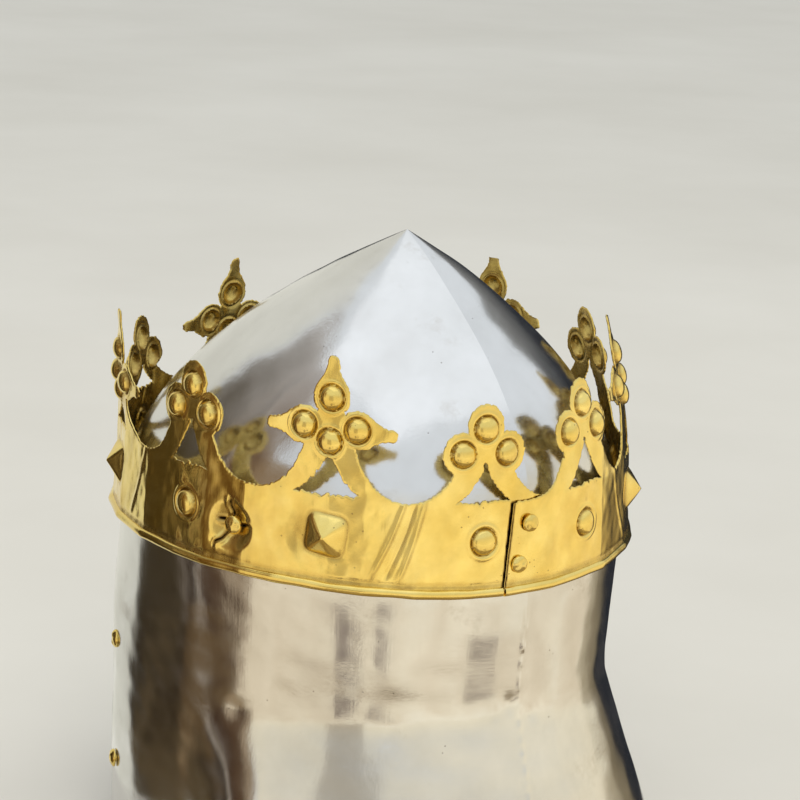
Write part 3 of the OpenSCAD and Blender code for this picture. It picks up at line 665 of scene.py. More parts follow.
def emboss_ornament(u, h, cross, rise, lean):
    """Relief of one ornament and of the boss or stud below it, and the tarnish and painted shade round their
    pearls, boss and dent.
    """
    v, w = h - BAND_H, h - BOSS_H
    off, hollow = 0 * u, 0 * u
    for cu, cv in CROSS_PEARLS if cross else TREFOIL_PEARLS:
        r = np.hypot(u - cu, v - cv - rise)
        off += np.where(r < 9, pearl(r, PEARL_R, 3.1), 0)
        # painted shade with tarnish in a ring round each pearl's foot
        hollow += 1.1 * bump(r - PEARL_R - 0.1, 0.32)
    if cross:
        a = math.radians(7)
        x, y = u * math.cos(a) - w * math.sin(a), u * math.sin(a) + w * math.cos(a)
        d = (np.abs(x) ** 5 + np.abs(y) ** 5) ** 0.2
        dent = np.hypot((u + 11.5) / 0.45, w + 1)
        off += 5.6 * np.clip(1 - d / 8.3, 0, 1) ** 0.95 - 0.2 * bump(d - 8.6, 0.7) - 0.9 * bump(dent / 6.5, 1)
        hollow += 0.45 * bump(d - 8.6, 0.6) + 0.5 * bump(dent / 6, 1)
    else:
        r = np.hypot(u, w)
        off += np.where(r < 10, pearl(r, BOSS_R, 2.7) + 0.25 * bump(r - 7.4, 0.5), 0)
        # the same painted shade with tarnish round the boss's foot
        hollow += 1.1 * bump(r - BOSS_R - 0.1, 0.32)
    return off - lean * (np.clip(v, 0, 60) / 50) ** 1.3 * smooth((34 - np.abs(u)) / 10), hollow


def emboss_mount(u, w, depth):
    """Relief of the dented and cracked patch round a mount rivet, darker in the dent and with painted shadow
    in the cracks.
    """
    r, a = np.hypot(u, w), np.arctan2(w, u)
    cone = smooth((11.5 - r) / 7.5)
    off, hollow = -depth * cone, 0.55 * cone
    for turn, reach in CRACKS:
        across = r * np.sin(a - turn - 0.04 * np.sin(r))
        on = smooth((reach - r) / 3) * smooth((r - 3) / 1.5) * (np.cos(a - turn) > 0)
        lips = 0.45 * bump(across - 1.5, 0.8) - 0.27 * bump(across + 2, 1.2)
        off += on * (lips - 0.75 * bump(across, 0.42))
        # painted shadow in each crack
        hollow += 2.0 * on * bump(across, 0.5)
    return off, hollow


def emboss(s, h):
    """Relief of the crown's front in millimetres outwards, and how dark each point is: tarnish in hollows and
    painted shade.
    """
    q = np.stack([s, h], -1)
    off = 0.13 * ripple(q, 21, 31) + 0.06 * ripple(q, 8, 32) + band_flats(s) * smooth((60 - h) / 22)
    hollow = 0.06 + 0.08 * ripple(q, 12, 33)
    reliefs = [emboss_ornament(s - middle, h, *kind) for middle, *kind in ORNAMENTS]
    reliefs += [emboss_mount(s - arc(strip_t(side * t)), h - MOUNT_H, depth)
                for t, depth in MOUNTS for side in (-1, 1)]
    for relief, dirt_and_shade_level in reliefs:
        off += relief
        hollow += dirt_and_shade_level
    for t, slant, tall in CREASES:
        line = arc(strip_t(t)) - slant * (38 - h) - 0.012 * slant * (38 - h) ** 2
        on = smooth((h - 5) / 6) * smooth((42 - h) / 6)
        off += tall * on * bump(s - line, 0.95)
        # painted shade beside each crease
        hollow += 0.5 * on * bump(s - line - 0.8, 0.5)
    # groove above the bead with painted shade in it, and painted shadow in the gap at the seam
    off -= 0.25 * bump(h - 5.6, 0.6)
    hollow += 0.5 * bump(h - 4.6, 1.2) + 3 * bump(s - seam_edge(h) + 0.1, 0.35)
    # the outer end lifts a little; the inner one slips under it and has painted shade where the band covers
    # it
    off += 0.45 * smooth((7 - s + seam_edge(h)) / 7) - 1.05 * smooth((s - TUCK_S) / 8)
    buried = s - seam_edge(h) - arc(SEAM_T - 360)
    hollow += 3 * smooth((buried + 1.5) / 0.7) * smooth((BAND_H + 1 - h) / 1.5)
    return off, np.clip(hollow, 0, 2)


def graded(lo, hi, step, fine, patches):
    """Sample places from lo to hi, closer together inside the patches."""
    out, x = [lo], lo
    while x < hi:
        x += fine if any(abs(x - c) < w for c, w in patches) else step
        out.append(x)
    return np.array(out)


def make_crown():
    mounts = [(arc(strip_t(side * t)), 13) for t, _ in MOUNTS for side in (-1, 1)]
    xs = graded(-2.6, STRIP_END + 0.6, 0.58, 0.36, mounts)
    ys = graded(1.6, 96, 0.58, 0.38, [(MOUNT_H, 11)])

    def place(q, depth):
        s, h = q.T
        return crown_point(arc_t(s), h, emboss(s, h)[0] - depth)

    cut = cut_grid(xs, ys, crown_inside)
    sheet = thicken(cut, place, CROWN_T, loops=2)
    marks = emboss(*cut[0].T)[1]
    rim = np.full(len(sheet[0]) - 2 * len(marks), 0.25)
    # rolled bead along the lower edge
    s = np.linspace(seam_edge(0) + 0.1, arc(SEAM_T - 360) + seam_edge(0) - 0.5, 900)
    q = np.stack([s, 0 * s], -1)
    off = band_flats(s) + 0.10 * ripple(q, 30, 41) + 0.05 * ripple(q, 9, 42)
    path = crown_point(arc_t(s), BEAD_H + 0.12 * ripple(q, 40, 43), off - CROWN_T / 2)
    bead = tube(path, BEAD_R + 0.07 * ripple(q, 14, 44), 14)
    # the back face is darker than the front, and the cut walls a little darker
    hollow = np.concatenate([marks, 0.55 + 0.4 * marks, rim, np.full(len(bead[0]), 0.1)])
    add_piece("crown_sheet", join([sheet, bead]), BRASS, "crown", flat=0.8, hollow=hollow)


# ---- Rivets ----
SHANK_R = 1.75
GRIP = SHEET_T + 0.7 + 2.5  # skull and liner band with their gaps


def rivet_part(head_r, head_h, grip, tail_r=3.0, tail_h=1.1, seed=0):
    """Hammered head above z = 0, shank and peened tail below -grip."""
    profile = [(0, head_h)]
    for k in range(1, 9):
        a = math.pi / 2 * k / 8
        profile.append((head_r * math.sin(a), head_h * (0.12 + 0.88 * math.cos(a) ** 0.9) if k < 8 else 0.18))
    profile += [(head_r - 0.12, 0.0), (SHANK_R, -0.05), (SHANK_R, -grip), (tail_r, -grip),
                (tail_r, -grip - 0.35), (tail_r * 0.85, -grip - tail_h * 0.8), (tail_r * 0.4, -grip - tail_h),
                (0, -grip - tail_h)]
    verts, quads, fans = lathe(profile)
    r = np.hypot(verts[:, 0], verts[:, 1])
    head = verts[:, 2] > 0.1
    verts[head, 2] += 0.16 * ripple(verts[head, :2] + 31 * seed, 3.2, seed + 200)
    wander = np.where(r > SHANK_R + 0.1, ripple(unit(verts[:, :2]), 2.5, seed + 300), 0)
    verts[:, :2] *= (1 + 0.035 * wander)[:, None]
    return verts, quads, fans


def rivets(name, node, seats, **sizes):
    """Rivets at (base point, outward direction) seats, each hammered a little differently."""
    seed = sum(ord(c) * (k + 3) for k, c in enumerate(name)) % 997
    parts = [stand(rivet_part(**sizes, seed=seed + k), *seat) for k, seat in enumerate(seats)]
    add_piece(name, join(parts), BRASS, node, hollow=0.15)


def crown_seat(t, h, lift):
    out = out_dir(t, CRX, CRY)
    return crown_point(np.float64(t), h) + out * lift, out


def skull_seat(t, z, lift=0.15):
    out = out_dir(abs(t)) * [np.sign(t), 1, 1]
    return skull(t, z) + out * lift, out


def make_rivets():
    rivets("seam_rivets", "crown_seam_rivets", [crown_seat(t, h, 0.35) for t, h in SEAM_RIVETS],
           head_r=3.6, head_h=2.1, grip=2.45, tail_r=2.6, tail_h=0.5)
    mount_grip = CROWN_T + 0.3 + 1.1 * GRIP + 0.8 + 3.2 * 0.6
    rivets("mount_rivets", "crown_mount_rivets",
           [crown_seat(side * t, MOUNT_H, 0.15 - depth) for t, depth in MOUNTS for side in (1, -1)],
           head_r=4.0, head_h=2.4, grip=mount_grip + 0.15)
    rivets("brow_rivet_pair", "brow_rivets", [skull_seat(side * 158, 141) for side in (1, -1)],
           head_r=3.8, head_h=2.0, grip=6.35)
    for side, word in ((1, "left"), (-1, "right")):
        rivets(word + "_cheek_rivet_pair", word + "_cheek_rivets",
               [skull_seat(side * 113, z) for z in (38, 93)], head_r=3.9, head_h=2.2, grip=SHEET_T + 3.75)


# ---- Leather liner ----
BAND_IN, BAND_OUT = 1.95, 4.45
BAND_LOW, BAND_HIGH = 136, 185
FLAP_HALF, FLAP_T, FLAP_OFF, TIP_K, HOLE_B = 20, 2, 5.2, 0.165, 0.9
SEWN, REACH, SPAN = 9, 92.0, 37.0  # a flap's sewn end, its length past the band, and half its width
FLAP_MIDDLES = [(k + 0.5) * 45 for k in range(8)]


def stitch(a, b, out, r=0.36, lift=0.25):
    """One thread stitch from a to b, arched along out."""
    f = np.linspace(0, 1, 7)[:, None]
    path = a + (b - a) * f + out * (lift + r) * (np.sin(f * math.pi) ** 0.6) - out * 0.3
    return tube(path, r * np.array([0.5, 0.9, 1, 1, 1, 0.9, 0.5]), 6, up=out + 0.01)


def leather_sheet(name, cut, inside, place, thick, worn, look, node, body="helmet"):
    """A thickened sheet whose edges are dark; worn is where the darkening starts and how soft it is."""
    part = thicken(cut, place, thick)
    rim = smooth((worn[0] - inside(*cut[0].T)) / worn[1])
    edge = np.concatenate([rim, rim, np.ones(len(part[0]) - 2 * len(rim))])
    add_piece(name, part, look, node, body, edge=edge)


def ring_profile(z0, z1, d0, d1, rows=26):
    """Closed outline (height, depth) of a strip with rounded upper and lower edges."""
    r, rise = (d1 - d0) / 2, np.linspace(z0 + (d1 - d0) / 2, z1 - (d1 - d0) / 2, rows)
    turn = np.linspace(0, math.pi, 7)[1:-1]
    z = np.concatenate([rise, z1 - r + r * np.sin(turn), rise[::-1], z0 + r - r * np.sin(turn)])
    d = np.concatenate([d0 + 0 * rise, d0 + r - r * np.cos(turn), d1 + 0 * rise, d1 - r + r * np.cos(turn)])
    return z, d


def make_liner_band():
    z, d = ring_profile(BAND_LOW, BAND_HIGH, BAND_IN, BAND_OUT)
    t = np.arange(-180, 180, 1.25)[:, None]
    q = np.stack(np.broadcast_arrays(np.sin(np.radians(t)) * 110, np.cos(np.radians(t)) * 110, z), -1)
    wave = 0.22 * ripple(q.reshape(-1, 3), 26, 51).reshape(q.shape[:2])
    groove = 0.3 * (bump(z - BAND_LOW - 3, 0.6) + bump(z - BAND_HIGH + 2.7, 0.6))
    p = under_skull(t, z, d + smooth((d - 3.2) / 1.2) * (wave - groove))
    edge = np.maximum(smooth((BAND_LOW + 2 - z) / 2), smooth((z - BAND_HIGH + 2) / 2)) + 0 * t
    add_piece("liner_band_leather", (p.reshape(-1, 3), ring_quads(*p.shape[:2]), []), LINER_LEATHER,
              "liner_band", edge=edge.ravel())


def flap_z(b):
    rise = 54 * (1 - (1 - np.clip(b, 0, 1)) ** 1.5)
    return BAND_HIGH + np.where(b < 0, b * SEWN, rise)


def flap_k(b):
    k0 = dome_g(np.float64(BAND_HIGH)) - FLAP_OFF / RX
    return np.where(b < 0, dome_g(flap_z(b)) - FLAP_OFF / RX, k0 - (k0 - TIP_K) * np.clip(b, 0, 2) ** 1.25)


def flap_point(t, b, d):
    """t round the helmet, b from -1 at the sewn end past 0 at the band's top to 1 at the tip, d inwards."""
    k, z = flap_k(b), flap_z(b)
    e = np.where(b > 0.9, -0.02, 0.02)
    n = unit(np.stack([(flap_z(b + e) - z) / e, -(flap_k(b + e) - k) / e * RX], -1))
    r = np.radians(t)
    x, y = (k * RX - d * n[..., 0]) * np.sin(r), (k * RY - d * n[..., 0]) * np.cos(r)
    return np.stack([x, y + APEX_BACK * dome_s(z) ** 1.4 + SHIFT_Y, z - d * n[..., 1]], -1)


def flap_b(y):
    return np.where(y < SEWN, y / SEWN - 1, (y - SEWN) / REACH)


def flap_inside(x, y):
    b, angle = flap_b(y), x / SPAN * FLAP_HALF
    degree = np.radians(1) * RX * flap_k(b)
    side = (FLAP_HALF - 0.6 * smooth(b * 2) - np.abs(angle)) * degree
    tip = (0.995 - 0.05 * (angle / FLAP_HALF) ** 2 - b) * REACH
    corner = np.minimum(side, tip) - 0.9 * np.exp(-(side + tip) ** 2 / 9)
    hole = np.hypot((np.abs(angle) - 11.25) * degree, (b - HOLE_B) * REACH) - 1.9
    return np.minimum(np.minimum(corner, hole), y - 0.2)


def make_flaps():
    xs, ys = np.linspace(-SPAN - 1, SPAN + 1, 77), np.linspace(-0.5, SEWN + REACH + 1, 112)
    cut = cut_grid(xs, ys, flap_inside)
    for k, middle in enumerate(FLAP_MIDDLES):

        def place(q, depth):
            b, angle = flap_b(q[:, 1]), q[:, 0] / SPAN * FLAP_HALF
            wave = 0.25 * ripple(q + 97 * k, 24, 60 + k) * smooth(b * 3)
            crease = 0.3 * bump(np.abs(angle) - 17.2, 0.35) * smooth(b * 6)
            pressed = 0.5 if depth > FLAP_T / 2 else -0.5
            return flap_point(middle + angle, b, depth + wave - pressed * crease)

        flap = f"liner_flap_{k + 1}"
        leather_sheet(flap + "_leather", cut, flap_inside, place, FLAP_T, (1.3, 1.2), LINER_LEATHER, flap)


def make_stitches():
    parts = []
    for middle in FLAP_MIDDLES:
        for b in np.array([-0.28, -0.72]):
            for angle in middle + np.arange(-17.5, 17.6, 2.2):
                ends = [flap_point(angle + s * 0.72, b, FLAP_T) for s in (-1, 1)]
                parts.append(stitch(*ends, unit(flap_point(angle, b, FLAP_T + 1) - sum(ends) / 2)))
    step, cheek_low = 4.2, 17
    for t in (105.2, 115.4, -105.2, -115.4):
        for z in cheek_low + (np.arange(25) + 0.5) * step:
            ends = [under_skull(t, z + d, 3.95) for d in (-1.3, 1.3)]
            parts.append(stitch(*ends, -skull_normal(t, z)))
    add_piece("liner_stitches", join(parts), THREAD, flat=1.2)


def cord_centre(t):
    c = np.cos(np.radians(8 * (t - 22.5)))
    p = flap_point(t, np.full(np.shape(t), HOLE_B), 1.0)
    p[..., 2] += 2.4 * c / np.sqrt(c * c + 0.15)
    return p


STRAND_R, STRAND_OFF, TWIST = 0.50, 0.42, 4.6  # a strand, its distance from the middle, length of one turn


def make_drawcord():
    p = cord_centre(np.linspace(0, 360, 720, endpoint=False))
    along = unit(np.roll(p, -1, 0) - np.roll(p, 1, 0))
    side = unit(np.cross(along, [0, 0, 1.0]))
    top = np.cross(side, along)
    length = run_along(p)
    turns = round(length[-1] / TWIST)
    parts = []
    for phase in (0, math.pi):
        a = (2 * math.pi * turns * length / (length[-1] + length[1]) + phase)[:, None]
        strand = p + STRAND_OFF * (np.cos(a) * side + np.sin(a) * top)
        parts.append(tube(strand, STRAND_R, 6, closed=True))
    # a knot below the gap at the nape, with two short ends
    at = cord_centre(np.array([0.0]))[0] - [0, 0, 1.3]
    a = np.linspace(0, 2 * math.pi, 60, endpoint=False)
    knot = np.stack([1.5 * (np.sin(a) + 1.4 * np.sin(2 * a)), np.sin(3 * a),
                     1.2 * (np.cos(a) - 1.4 * np.cos(2 * a))], -1)
    parts.append(tube(at + knot, 0.8, 8, closed=True, up=(0, 1, 0.2)))
    f = np.linspace(0, 1, 30)[:, None]
    for s in (1, -1):
        tail = at + [0, 0, -1] + f * [5.5 * s, 1.5 * s, -17] + np.sin(f * 3) * [2.2 * s, 0, 0]
        parts.append(tube(tail, 0.75 - 0.12 * (f[:, 0] > 0.97), 8, up=(0, 1, 0)))
    add_piece("liner_drawcord_twist", join(parts), CORD, "liner_drawcord", flat=1.2)


def make_cheek_linings():
    middle, degree, corner = 110.2, math.radians(1) * 106, 6
    half_w, half_h, centre_z = 7.2 * degree, 56, 70

    def inside(x, z):
        dx, dz = half_w - corner - np.abs(x), half_h - corner - np.abs(z - centre_z)
        return corner + np.where((dx < 0) & (dz < 0), -np.hypot(dx, dz), np.minimum(dx, dz))

    cut = cut_grid(np.linspace(-half_w - 1, half_w + 1, 34), np.linspace(13, 127, 104), inside)
    for side, word in ((1, "left"), (-1, "right")):

        def place(q, depth):
            wave = 0.18 * ripple(q + 40 * side, 18, 71) if depth > 1 else 0 * q[:, 0]
            return under_skull(side * (middle + q[:, 0] / degree), q[:, 1], BAND_IN + depth + wave)

        leather_sheet(word + "_cheek_leather", cut, inside, place, 2.0, (1.4, 1.2), LINER_LEATHER,
                      word + "_cheek_lining")


# ---- Chin strap: everything in the XZ plane through the pivots ----
STRAP_T, STRAP_W = 2.2, 20
PIVOT_Z = 156
STRAP_X = skull(90, PIVOT_Z)[0] - GRIP - 0.7 - 1.6 - 0.1 - STRAP_T / 2
STRAP_LEAN = math.radians(24)
DOWN = np.array([-math.sin(STRAP_LEAN), -math.cos(STRAP_LEAN)])
HEEL_S, FRAME_L = 50, 20
WRAP, LAP = 2.8, 2.4


def on_straight(s, q=0.0):
    """Point s down the strap's straight stretch and q towards the skull, as (x, z)."""
    return np.array([STRAP_X + s * DOWN[0] - q * DOWN[1], PIVOT_Z - 5.5 + s * DOWN[1] + q * DOWN[0]])


def to_space(s, q, y):
    """The same as points in space, y across the strap."""
    x, z = on_straight(s, q)
    return np.stack([x, y + SHIFT_Y, z], -1)


def soft_path(points, step=0.7):
    """Smooth curve through the points, sampled every step: distances and (x, z) places."""
    p = np.array(points, float)
    p = np.concatenate([[2 * p[0] - p[1]], p, [2 * p[-1] - p[-2]]])
    out = []
    for a, b, c, d in zip(p, p[1:], p[2:], p[3:]):
        t0, t1, t2 = (max(np.linalg.norm(v), 1e-6) ** 0.5 for v in (b - a, c - b, d - c))
        m1 = (c - b) + t1 * ((b - a) / t0 - (c - a) / (t0 + t1))
        m2 = (c - b) + t1 * ((d - c) / t2 - (d - b) / (t1 + t2))
        u = np.linspace(0, 1, max(3, int(np.linalg.norm(c - b) / 0.15)), endpoint=False)[:, None]
        out.append((2 * u**3 - 3 * u**2 + 1) * b + (u**3 - 2 * u**2 + u) * m1
                   + (3 * u**2 - 2 * u**3) * c + (u**3 - u**2) * m2)
    fine = np.concatenate(out + [p[-2:-1]])
    return resample(fine, step, True)


def resample(points, step, ends):
    """Evenly spaced points along a line, with or without its last one, after their distances."""
    run = run_along(points)
    s = np.linspace(0, run[-1], int(run[-1] / step) + ends, endpoint=ends)
    return s, np.stack([np.interp(s, run, x) for x in points.T], -1)


def make_strap(name, path, node, slot, holes, tip, seed):
    """Strap along a path; slot is (start, end, half-width) and tip the half-width of its pointed end."""
    s, xz = path
    length, half = s[-1], STRAP_W / 2
    heading = unit(np.gradient(xz, axis=0))
    side = np.stack([-heading[:, 1], heading[:, 0]], -1)
    corner, taper = 7, 24

    def outline(x, y):
        w = np.abs(y)
        d = np.minimum(half - w, np.minimum(x, length - x))
        cx, cy = corner - x, w - (half - corner)
        d = np.where((cx > 0) & (cy > 0), corner - np.hypot(cx, cy), d)
        if tip < half:
            d = np.minimum(d, np.where(x > length - taper, (length - x) * 0.62 + tip - w * 0.8, 99))
        d = np.minimum(d, np.hypot(x - np.clip(x, slot[0], slot[1]), y) - slot[2])
        for hole in holes:
            d = np.minimum(d, np.hypot(x - hole, y) - 1.6)
        return d

    def place(q, depth):
        x, w = np.clip(q[:, 0], 0, length), np.abs(q[:, 1])
        centre, n = (np.stack([np.interp(x, s, v[:, k]) for k in (0, 1)], -1) for v in (xz, side))
        out = STRAP_T / 2 - depth
        out = out - np.sign(out) * (0.22 * bump(w - 8.1, 0.4) + 0.12 * smooth((w - 8.6) / 1.4))
        p = centre + unit(n) * (out + 0.06 * ripple(q, 14, seed))[:, None]
        return np.stack([p[:, 0], q[:, 1] + SHIFT_Y, p[:, 1]], -1)

    cut = cut_grid(np.arange(-0.7, length + 0.8, 0.7), np.linspace(-half - 0.5, half + 0.5, 34), outline)
    leather_sheet(name, cut, outline, place, STRAP_T, (1.2, 1.0), STRAP_LEATHER, node, "chin_strap")
    return place


def mirror_x(points):
    return [p * [-1, 1] for p in points]


def run_of(path, s_local, after=0):
    """Length along the path where it passes s_local on the straight stretch, past the given length."""
    s, xz = path
    return s[np.argmin(np.abs((xz - on_straight(0)) @ DOWN - s_local) + np.where(s < after, 1e3, 0))]


def make_straps():
    tab = [np.array([STRAP_X, PIVOT_Z + rise]) for rise in (7.5, 1, -4.5)] + [on_straight(1)]
    fold = [on_straight(HEEL_S + WRAP * math.sin(a), -WRAP + WRAP * math.cos(a))
            for a in np.linspace(0, math.pi, 9)]
    back = [on_straight(HEEL_S - 5, -3.7), on_straight(HEEL_S - 11, -LAP), on_straight(HEEL_S - 24, -LAP)]
    path = soft_path(tab + [on_straight(k) for k in (8, 20, 32, 44)] + fold + back)
    bar, end = run_of(path, HEEL_S), path[0][-1]
    place = make_strap("buckle_strap_leather", path, "buckle_strap", (bar - 5, bar + 13.5, 1.9), [], 99, 81)
    # two rows of stitches along the fold and one across its end
    rows = [([x, y], [x + 2.2, y]) for y in (-7, 7) for x in np.arange(end - 15, end - 1.5, 3.4)]
    rows += [([end - 2.4, y - 1.1], [end - 2.4, y + 1.1]) for y in np.arange(-5.2, 5.3, 3.4)]
    parts = []
    for ends in rows:
        a, b = place(np.array(ends), 0.0)
        above = place(np.mean([ends], axis=1), -1.0)[0]
        parts.append(stitch(a, b, unit(above - (a + b) / 2)))

    far = HEEL_S + FRAME_L
    u = np.linspace(0, 1, 40)[:, None]
    low = ((1 - u) ** 3 * on_straight(far + 14) + 3 * u * (1 - u) ** 2 * on_straight(far + 32)
           + 3 * u**2 * (1 - u) * np.array([30, 13]) + u**3 * np.array([0, 13]))
    tip = [on_straight(far + 8, -3.4), on_straight(far + 4, -2 * WRAP), on_straight(far, -2 * WRAP - 0.2),
           on_straight(far - 3, -2 * WRAP), on_straight(HEEL_S + 5.5, -0.2),
           on_straight(HEEL_S + 2, LAP - 0.3), on_straight(HEEL_S - 1, LAP + 0.1),
           on_straight(HEEL_S - 6, LAP), on_straight(HEEL_S - 24, LAP), on_straight(7, LAP)]
    plain = [on_straight(k) for k in (20, 40, 60, 74)]
    path = soft_path(mirror_x(tab + plain + list(low[::3])) + list(low[::-1][1::3]) + tip)
    total = path[0][-1]
    slot0, slot1 = run_of(path, HEEL_S + 10.8, total - 80), run_of(path, HEEL_S + 1.8, total - 62)
    holes = [slot0 - 12, slot0 - 26, slot0 - 40, slot1 + 16, slot1 + 30]
    make_strap("long_strap_leather", path, "long_strap", (slot0 + 1, slot1 - 1, 1.6), holes, 4.5, 82)
    add_piece("strap_stitches", join(parts), THREAD, (), "chin_strap", flat=1.2)


def rounded_loop(w, h, r, step=0.6):
    """Closed rounded rectangle of half-sizes w by h as (a, b) points."""
    centres = ((w - r, h - r), (r - w, h - r), (r - w, r - h), (w - r, r - h))
    pts = [(cx + r * math.cos(a), cy + r * math.sin(a)) for k, (cx, cy) in enumerate(centres)
           for a in np.radians(np.linspace(90 * k, 90 * k + 90, 8))]
    return resample(np.array(pts + pts[:1]), step, False)[1]


def make_buckle():
    loop = rounded_loop(13.5, FRAME_L / 2, 3)
    path = to_space(HEEL_S + FRAME_L / 2 + loop[:, 1], -WRAP + 0 * loop[:, 0], loop[:, 0])
    wire = tube(path, 1.55 + 0.05 * ripple(path, 9, 90), 12, closed=True, up=(-DOWN[1], 0, DOWN[0]))
    add_piece("buckle_frame_wire", wire, BRASS, "buckle_frame", "chin_strap", 1.2, hollow=0.2)
    # the tongue's eye round the heel bar, then its straight stretch
    a = np.radians(np.linspace(-250, 0, 40))
    f = np.linspace(0, 1, 34)
    s = np.concatenate([HEEL_S + WRAP * np.sin(a), HEEL_S + 0.6 + 21.6 * f])
    q = np.concatenate([-WRAP + WRAP * np.cos(a), 0.15 * np.sin(3 * f)])
    r = np.concatenate([1.05 + 0 * a, np.interp(f, [0, 0.85, 0.97, 1], [1.05, 0.95, 0.7, 0.25])])
    wire = tube(to_space(s, q, 0 * s), r, 10, up=(0, 1, 0))
    add_piece("buckle_tongue_wire", wire, BRASS, "buckle_tongue", "chin_strap", 1.2, hollow=0.2)


def make_keeper():
    half, rise = 3.5, 0.78  # half the loop's width, and of its leather's thickness
    # the opening's half-sizes, and from there to the middle of the leather
    middle = rounded_loop(3.8 + 0.8, 10.4 + 0.9, 2.2)
    along = unit(np.roll(middle, -1, 0) - np.roll(middle, 1, 0))
    z, d = ring_profile(-half, half, -rise, rise, rows=8)
    q = middle[:, None, 0] + along[:, None, 1] * d
    y = middle[:, None, 1] - along[:, None, 0] * d
    s = HEEL_S - 12 - half + z + 0.12 * np.sin(np.arange(len(middle)) * 0.7)[:, None]
    edge = np.broadcast_to(smooth((np.abs(z) - 2.6) / 0.8), q.shape).ravel()
    quads = ring_quads(*q.shape)[:, [0, 3, 2, 1]]
    part = (to_space(s, q, y).reshape(-1, 3), quads, [])
    add_piece("keeper_leather", part, STRAP_LEATHER, "strap_keeper", "keeper", edge=edge)


make_skull()
make_crown()
make_rivets()
make_liner_band()
make_flaps()
make_stitches()
make_drawcord()
make_cheek_linings()
make_straps()
make_buckle()
make_keeper()
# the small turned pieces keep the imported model's meshes
turned_pieces = ["crown_mount_washers", "brow_washers", "left_cheek_washers", "right_cheek_washers"]
for side in ("left", "right"):
    turned_pieces += [f"{side}_strap_{kind}" for kind in ("rivet", "spacer", "washer")]
for name in turned_pieces:
    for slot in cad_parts[name].material_slots:
        slot.material = BRASS


# ---- Studio ----
def stage_mesh(name, verts, faces, look, hidden=False):
    me = bpy.data.meshes.new(name)
    me.from_pydata(verts, [], faces)
    me.materials.append(look)
    o = bpy.data.objects.new(name, me)
    bpy.context.scene.collection.objects.link(o)
    if hidden:
        o.visible_camera = o.visible_shadow = o.visible_diffuse = False


def make_floor():
    look = Look("pale_floor", Specular_IOR_Level=0.05)
    tone = look.ramp(look.noise(3, detail=5), [(0.3, (0.64, 0.60, 0.52)), (0.7, (0.69, 0.65, 0.57))])
    floor = look.finish(tone, look.times(look.noise(60), 0.2, 0.75))
    stage_mesh("floor", [(-6, -6, 0), (6, -6, 0), (6, 6, 0), (-6, 6, 0)], [(0, 1, 2, 3)], floor)


def card_material(name, stops, axis, low, high, patchy):
    """Glow that runs through the stops from low to high along an axis, with cloudy patches."""
    look = Look(name)
    look.tree.nodes.clear()
    part = look.add("SeparateXYZ", {"Vector": look.where()})[axis]
    bands = look.calc("SUBTRACT", look.noise(16, (1, 1, 0.12), detail=3), 0.5)
    cloud = look.calc("SUBTRACT", look.times(bands, 1.4, look.noise(7, detail=5)), 0.5)
    level = look.times(cloud, patchy, look.add("MapRange", {"Value": part, 1: low, 2: high})[0])
    glow = look.add("Emission", {"Color": look.ramp(level, stops), "Strength": 1.0})
    look.add("OutputMaterial", {0: glow[0]})
    return look.material


def mirrored_at(direction, radius):
    """Where on a circle round the helmet a card must stand for the wall to mirror it in a direction."""
    wall_r = 0.108
    n, d = math.radians((direction + VIEW) / 2), math.radians(direction)
    x, y = wall_r * math.cos(n), wall_r * math.sin(n)
    b = x * math.cos(d) + y * math.sin(d)
    k = -b + math.sqrt(b * b + radius * radius - wall_r**2)
    return math.atan2(y + k * math.sin(d), x + k * math.cos(d))


CARD_STEPS = 24


def ring_of(d0, d1, radius):
    a0, a1 = mirrored_at(d0, radius), mirrored_at(d1, radius)
    a1 += 2 * math.pi if a1 < a0 else 0
    angles = [a0 + (a1 - a0) * k / CARD_STEPS for k in range(CARD_STEPS + 1)]
    return [(radius * math.cos(a), radius * math.sin(a)) for a in angles]


def card(name, d0, d1, radius, z0, z1, stops, patchy=0.3):
    """Upright card that only reflections see, between two mirrored directions."""
    verts = [(*p, z) for p in ring_of(d0, d1, radius) for z in (z0, z1)]
    faces = [(2 * k, 2 * k + 2, 2 * k + 3, 2 * k + 1) for k in range(CARD_STEPS)]
    stage_mesh(name, verts, faces, card_material(name, stops, 2, z0, z1, patchy), True)


def floor_card(name, d0, d1, r0, r1, layer, *stops):
    """The same, lying on the floor; a higher layer covers a lower one."""
    rows, cols = 11, CARD_STEPS + 1
    verts = [(*p, 0.0001 * layer) for r in np.geomspace(r0, r1, rows) for p in ring_of(d0, d1, r)]
    faces = [(k, k + 1, k + cols + 1, k + cols) for k in range((rows - 1) * cols) if k % cols < CARD_STEPS]
    stage_mesh(name, verts, faces, card_material(name, stops, 1, -1, 1, 1.0), True)


def streak(name, d0, d1, low, high, top=(0.52, 0.49, 0.46), radius=0.34):
    """Tall narrow card, as the doorway's edge looks in the steel."""
    between = tuple(0.5 * (a + b) for a, b in zip(high, top))
    card(name, d0, d1, radius, 0.0, 0.72, [(0.0, low), (0.38, high), (0.62, between), (1, top)])


def light(name, place, aim_z, size, power, colour):
    data = bpy.data.lights.new(name, "AREA")
    data.shape, data.size, data.energy, data.color = "SQUARE", size, power, colour
    o = bpy.data.objects.new(name, data)
    o.location = place
    o.rotation_euler = (Vector((0, 0, aim_z)) - Vector(place)).to_track_quat("-Z", "Y").to_euler()
    o.visible_glossy = False
    bpy.context.scene.collection.objects.link(o)


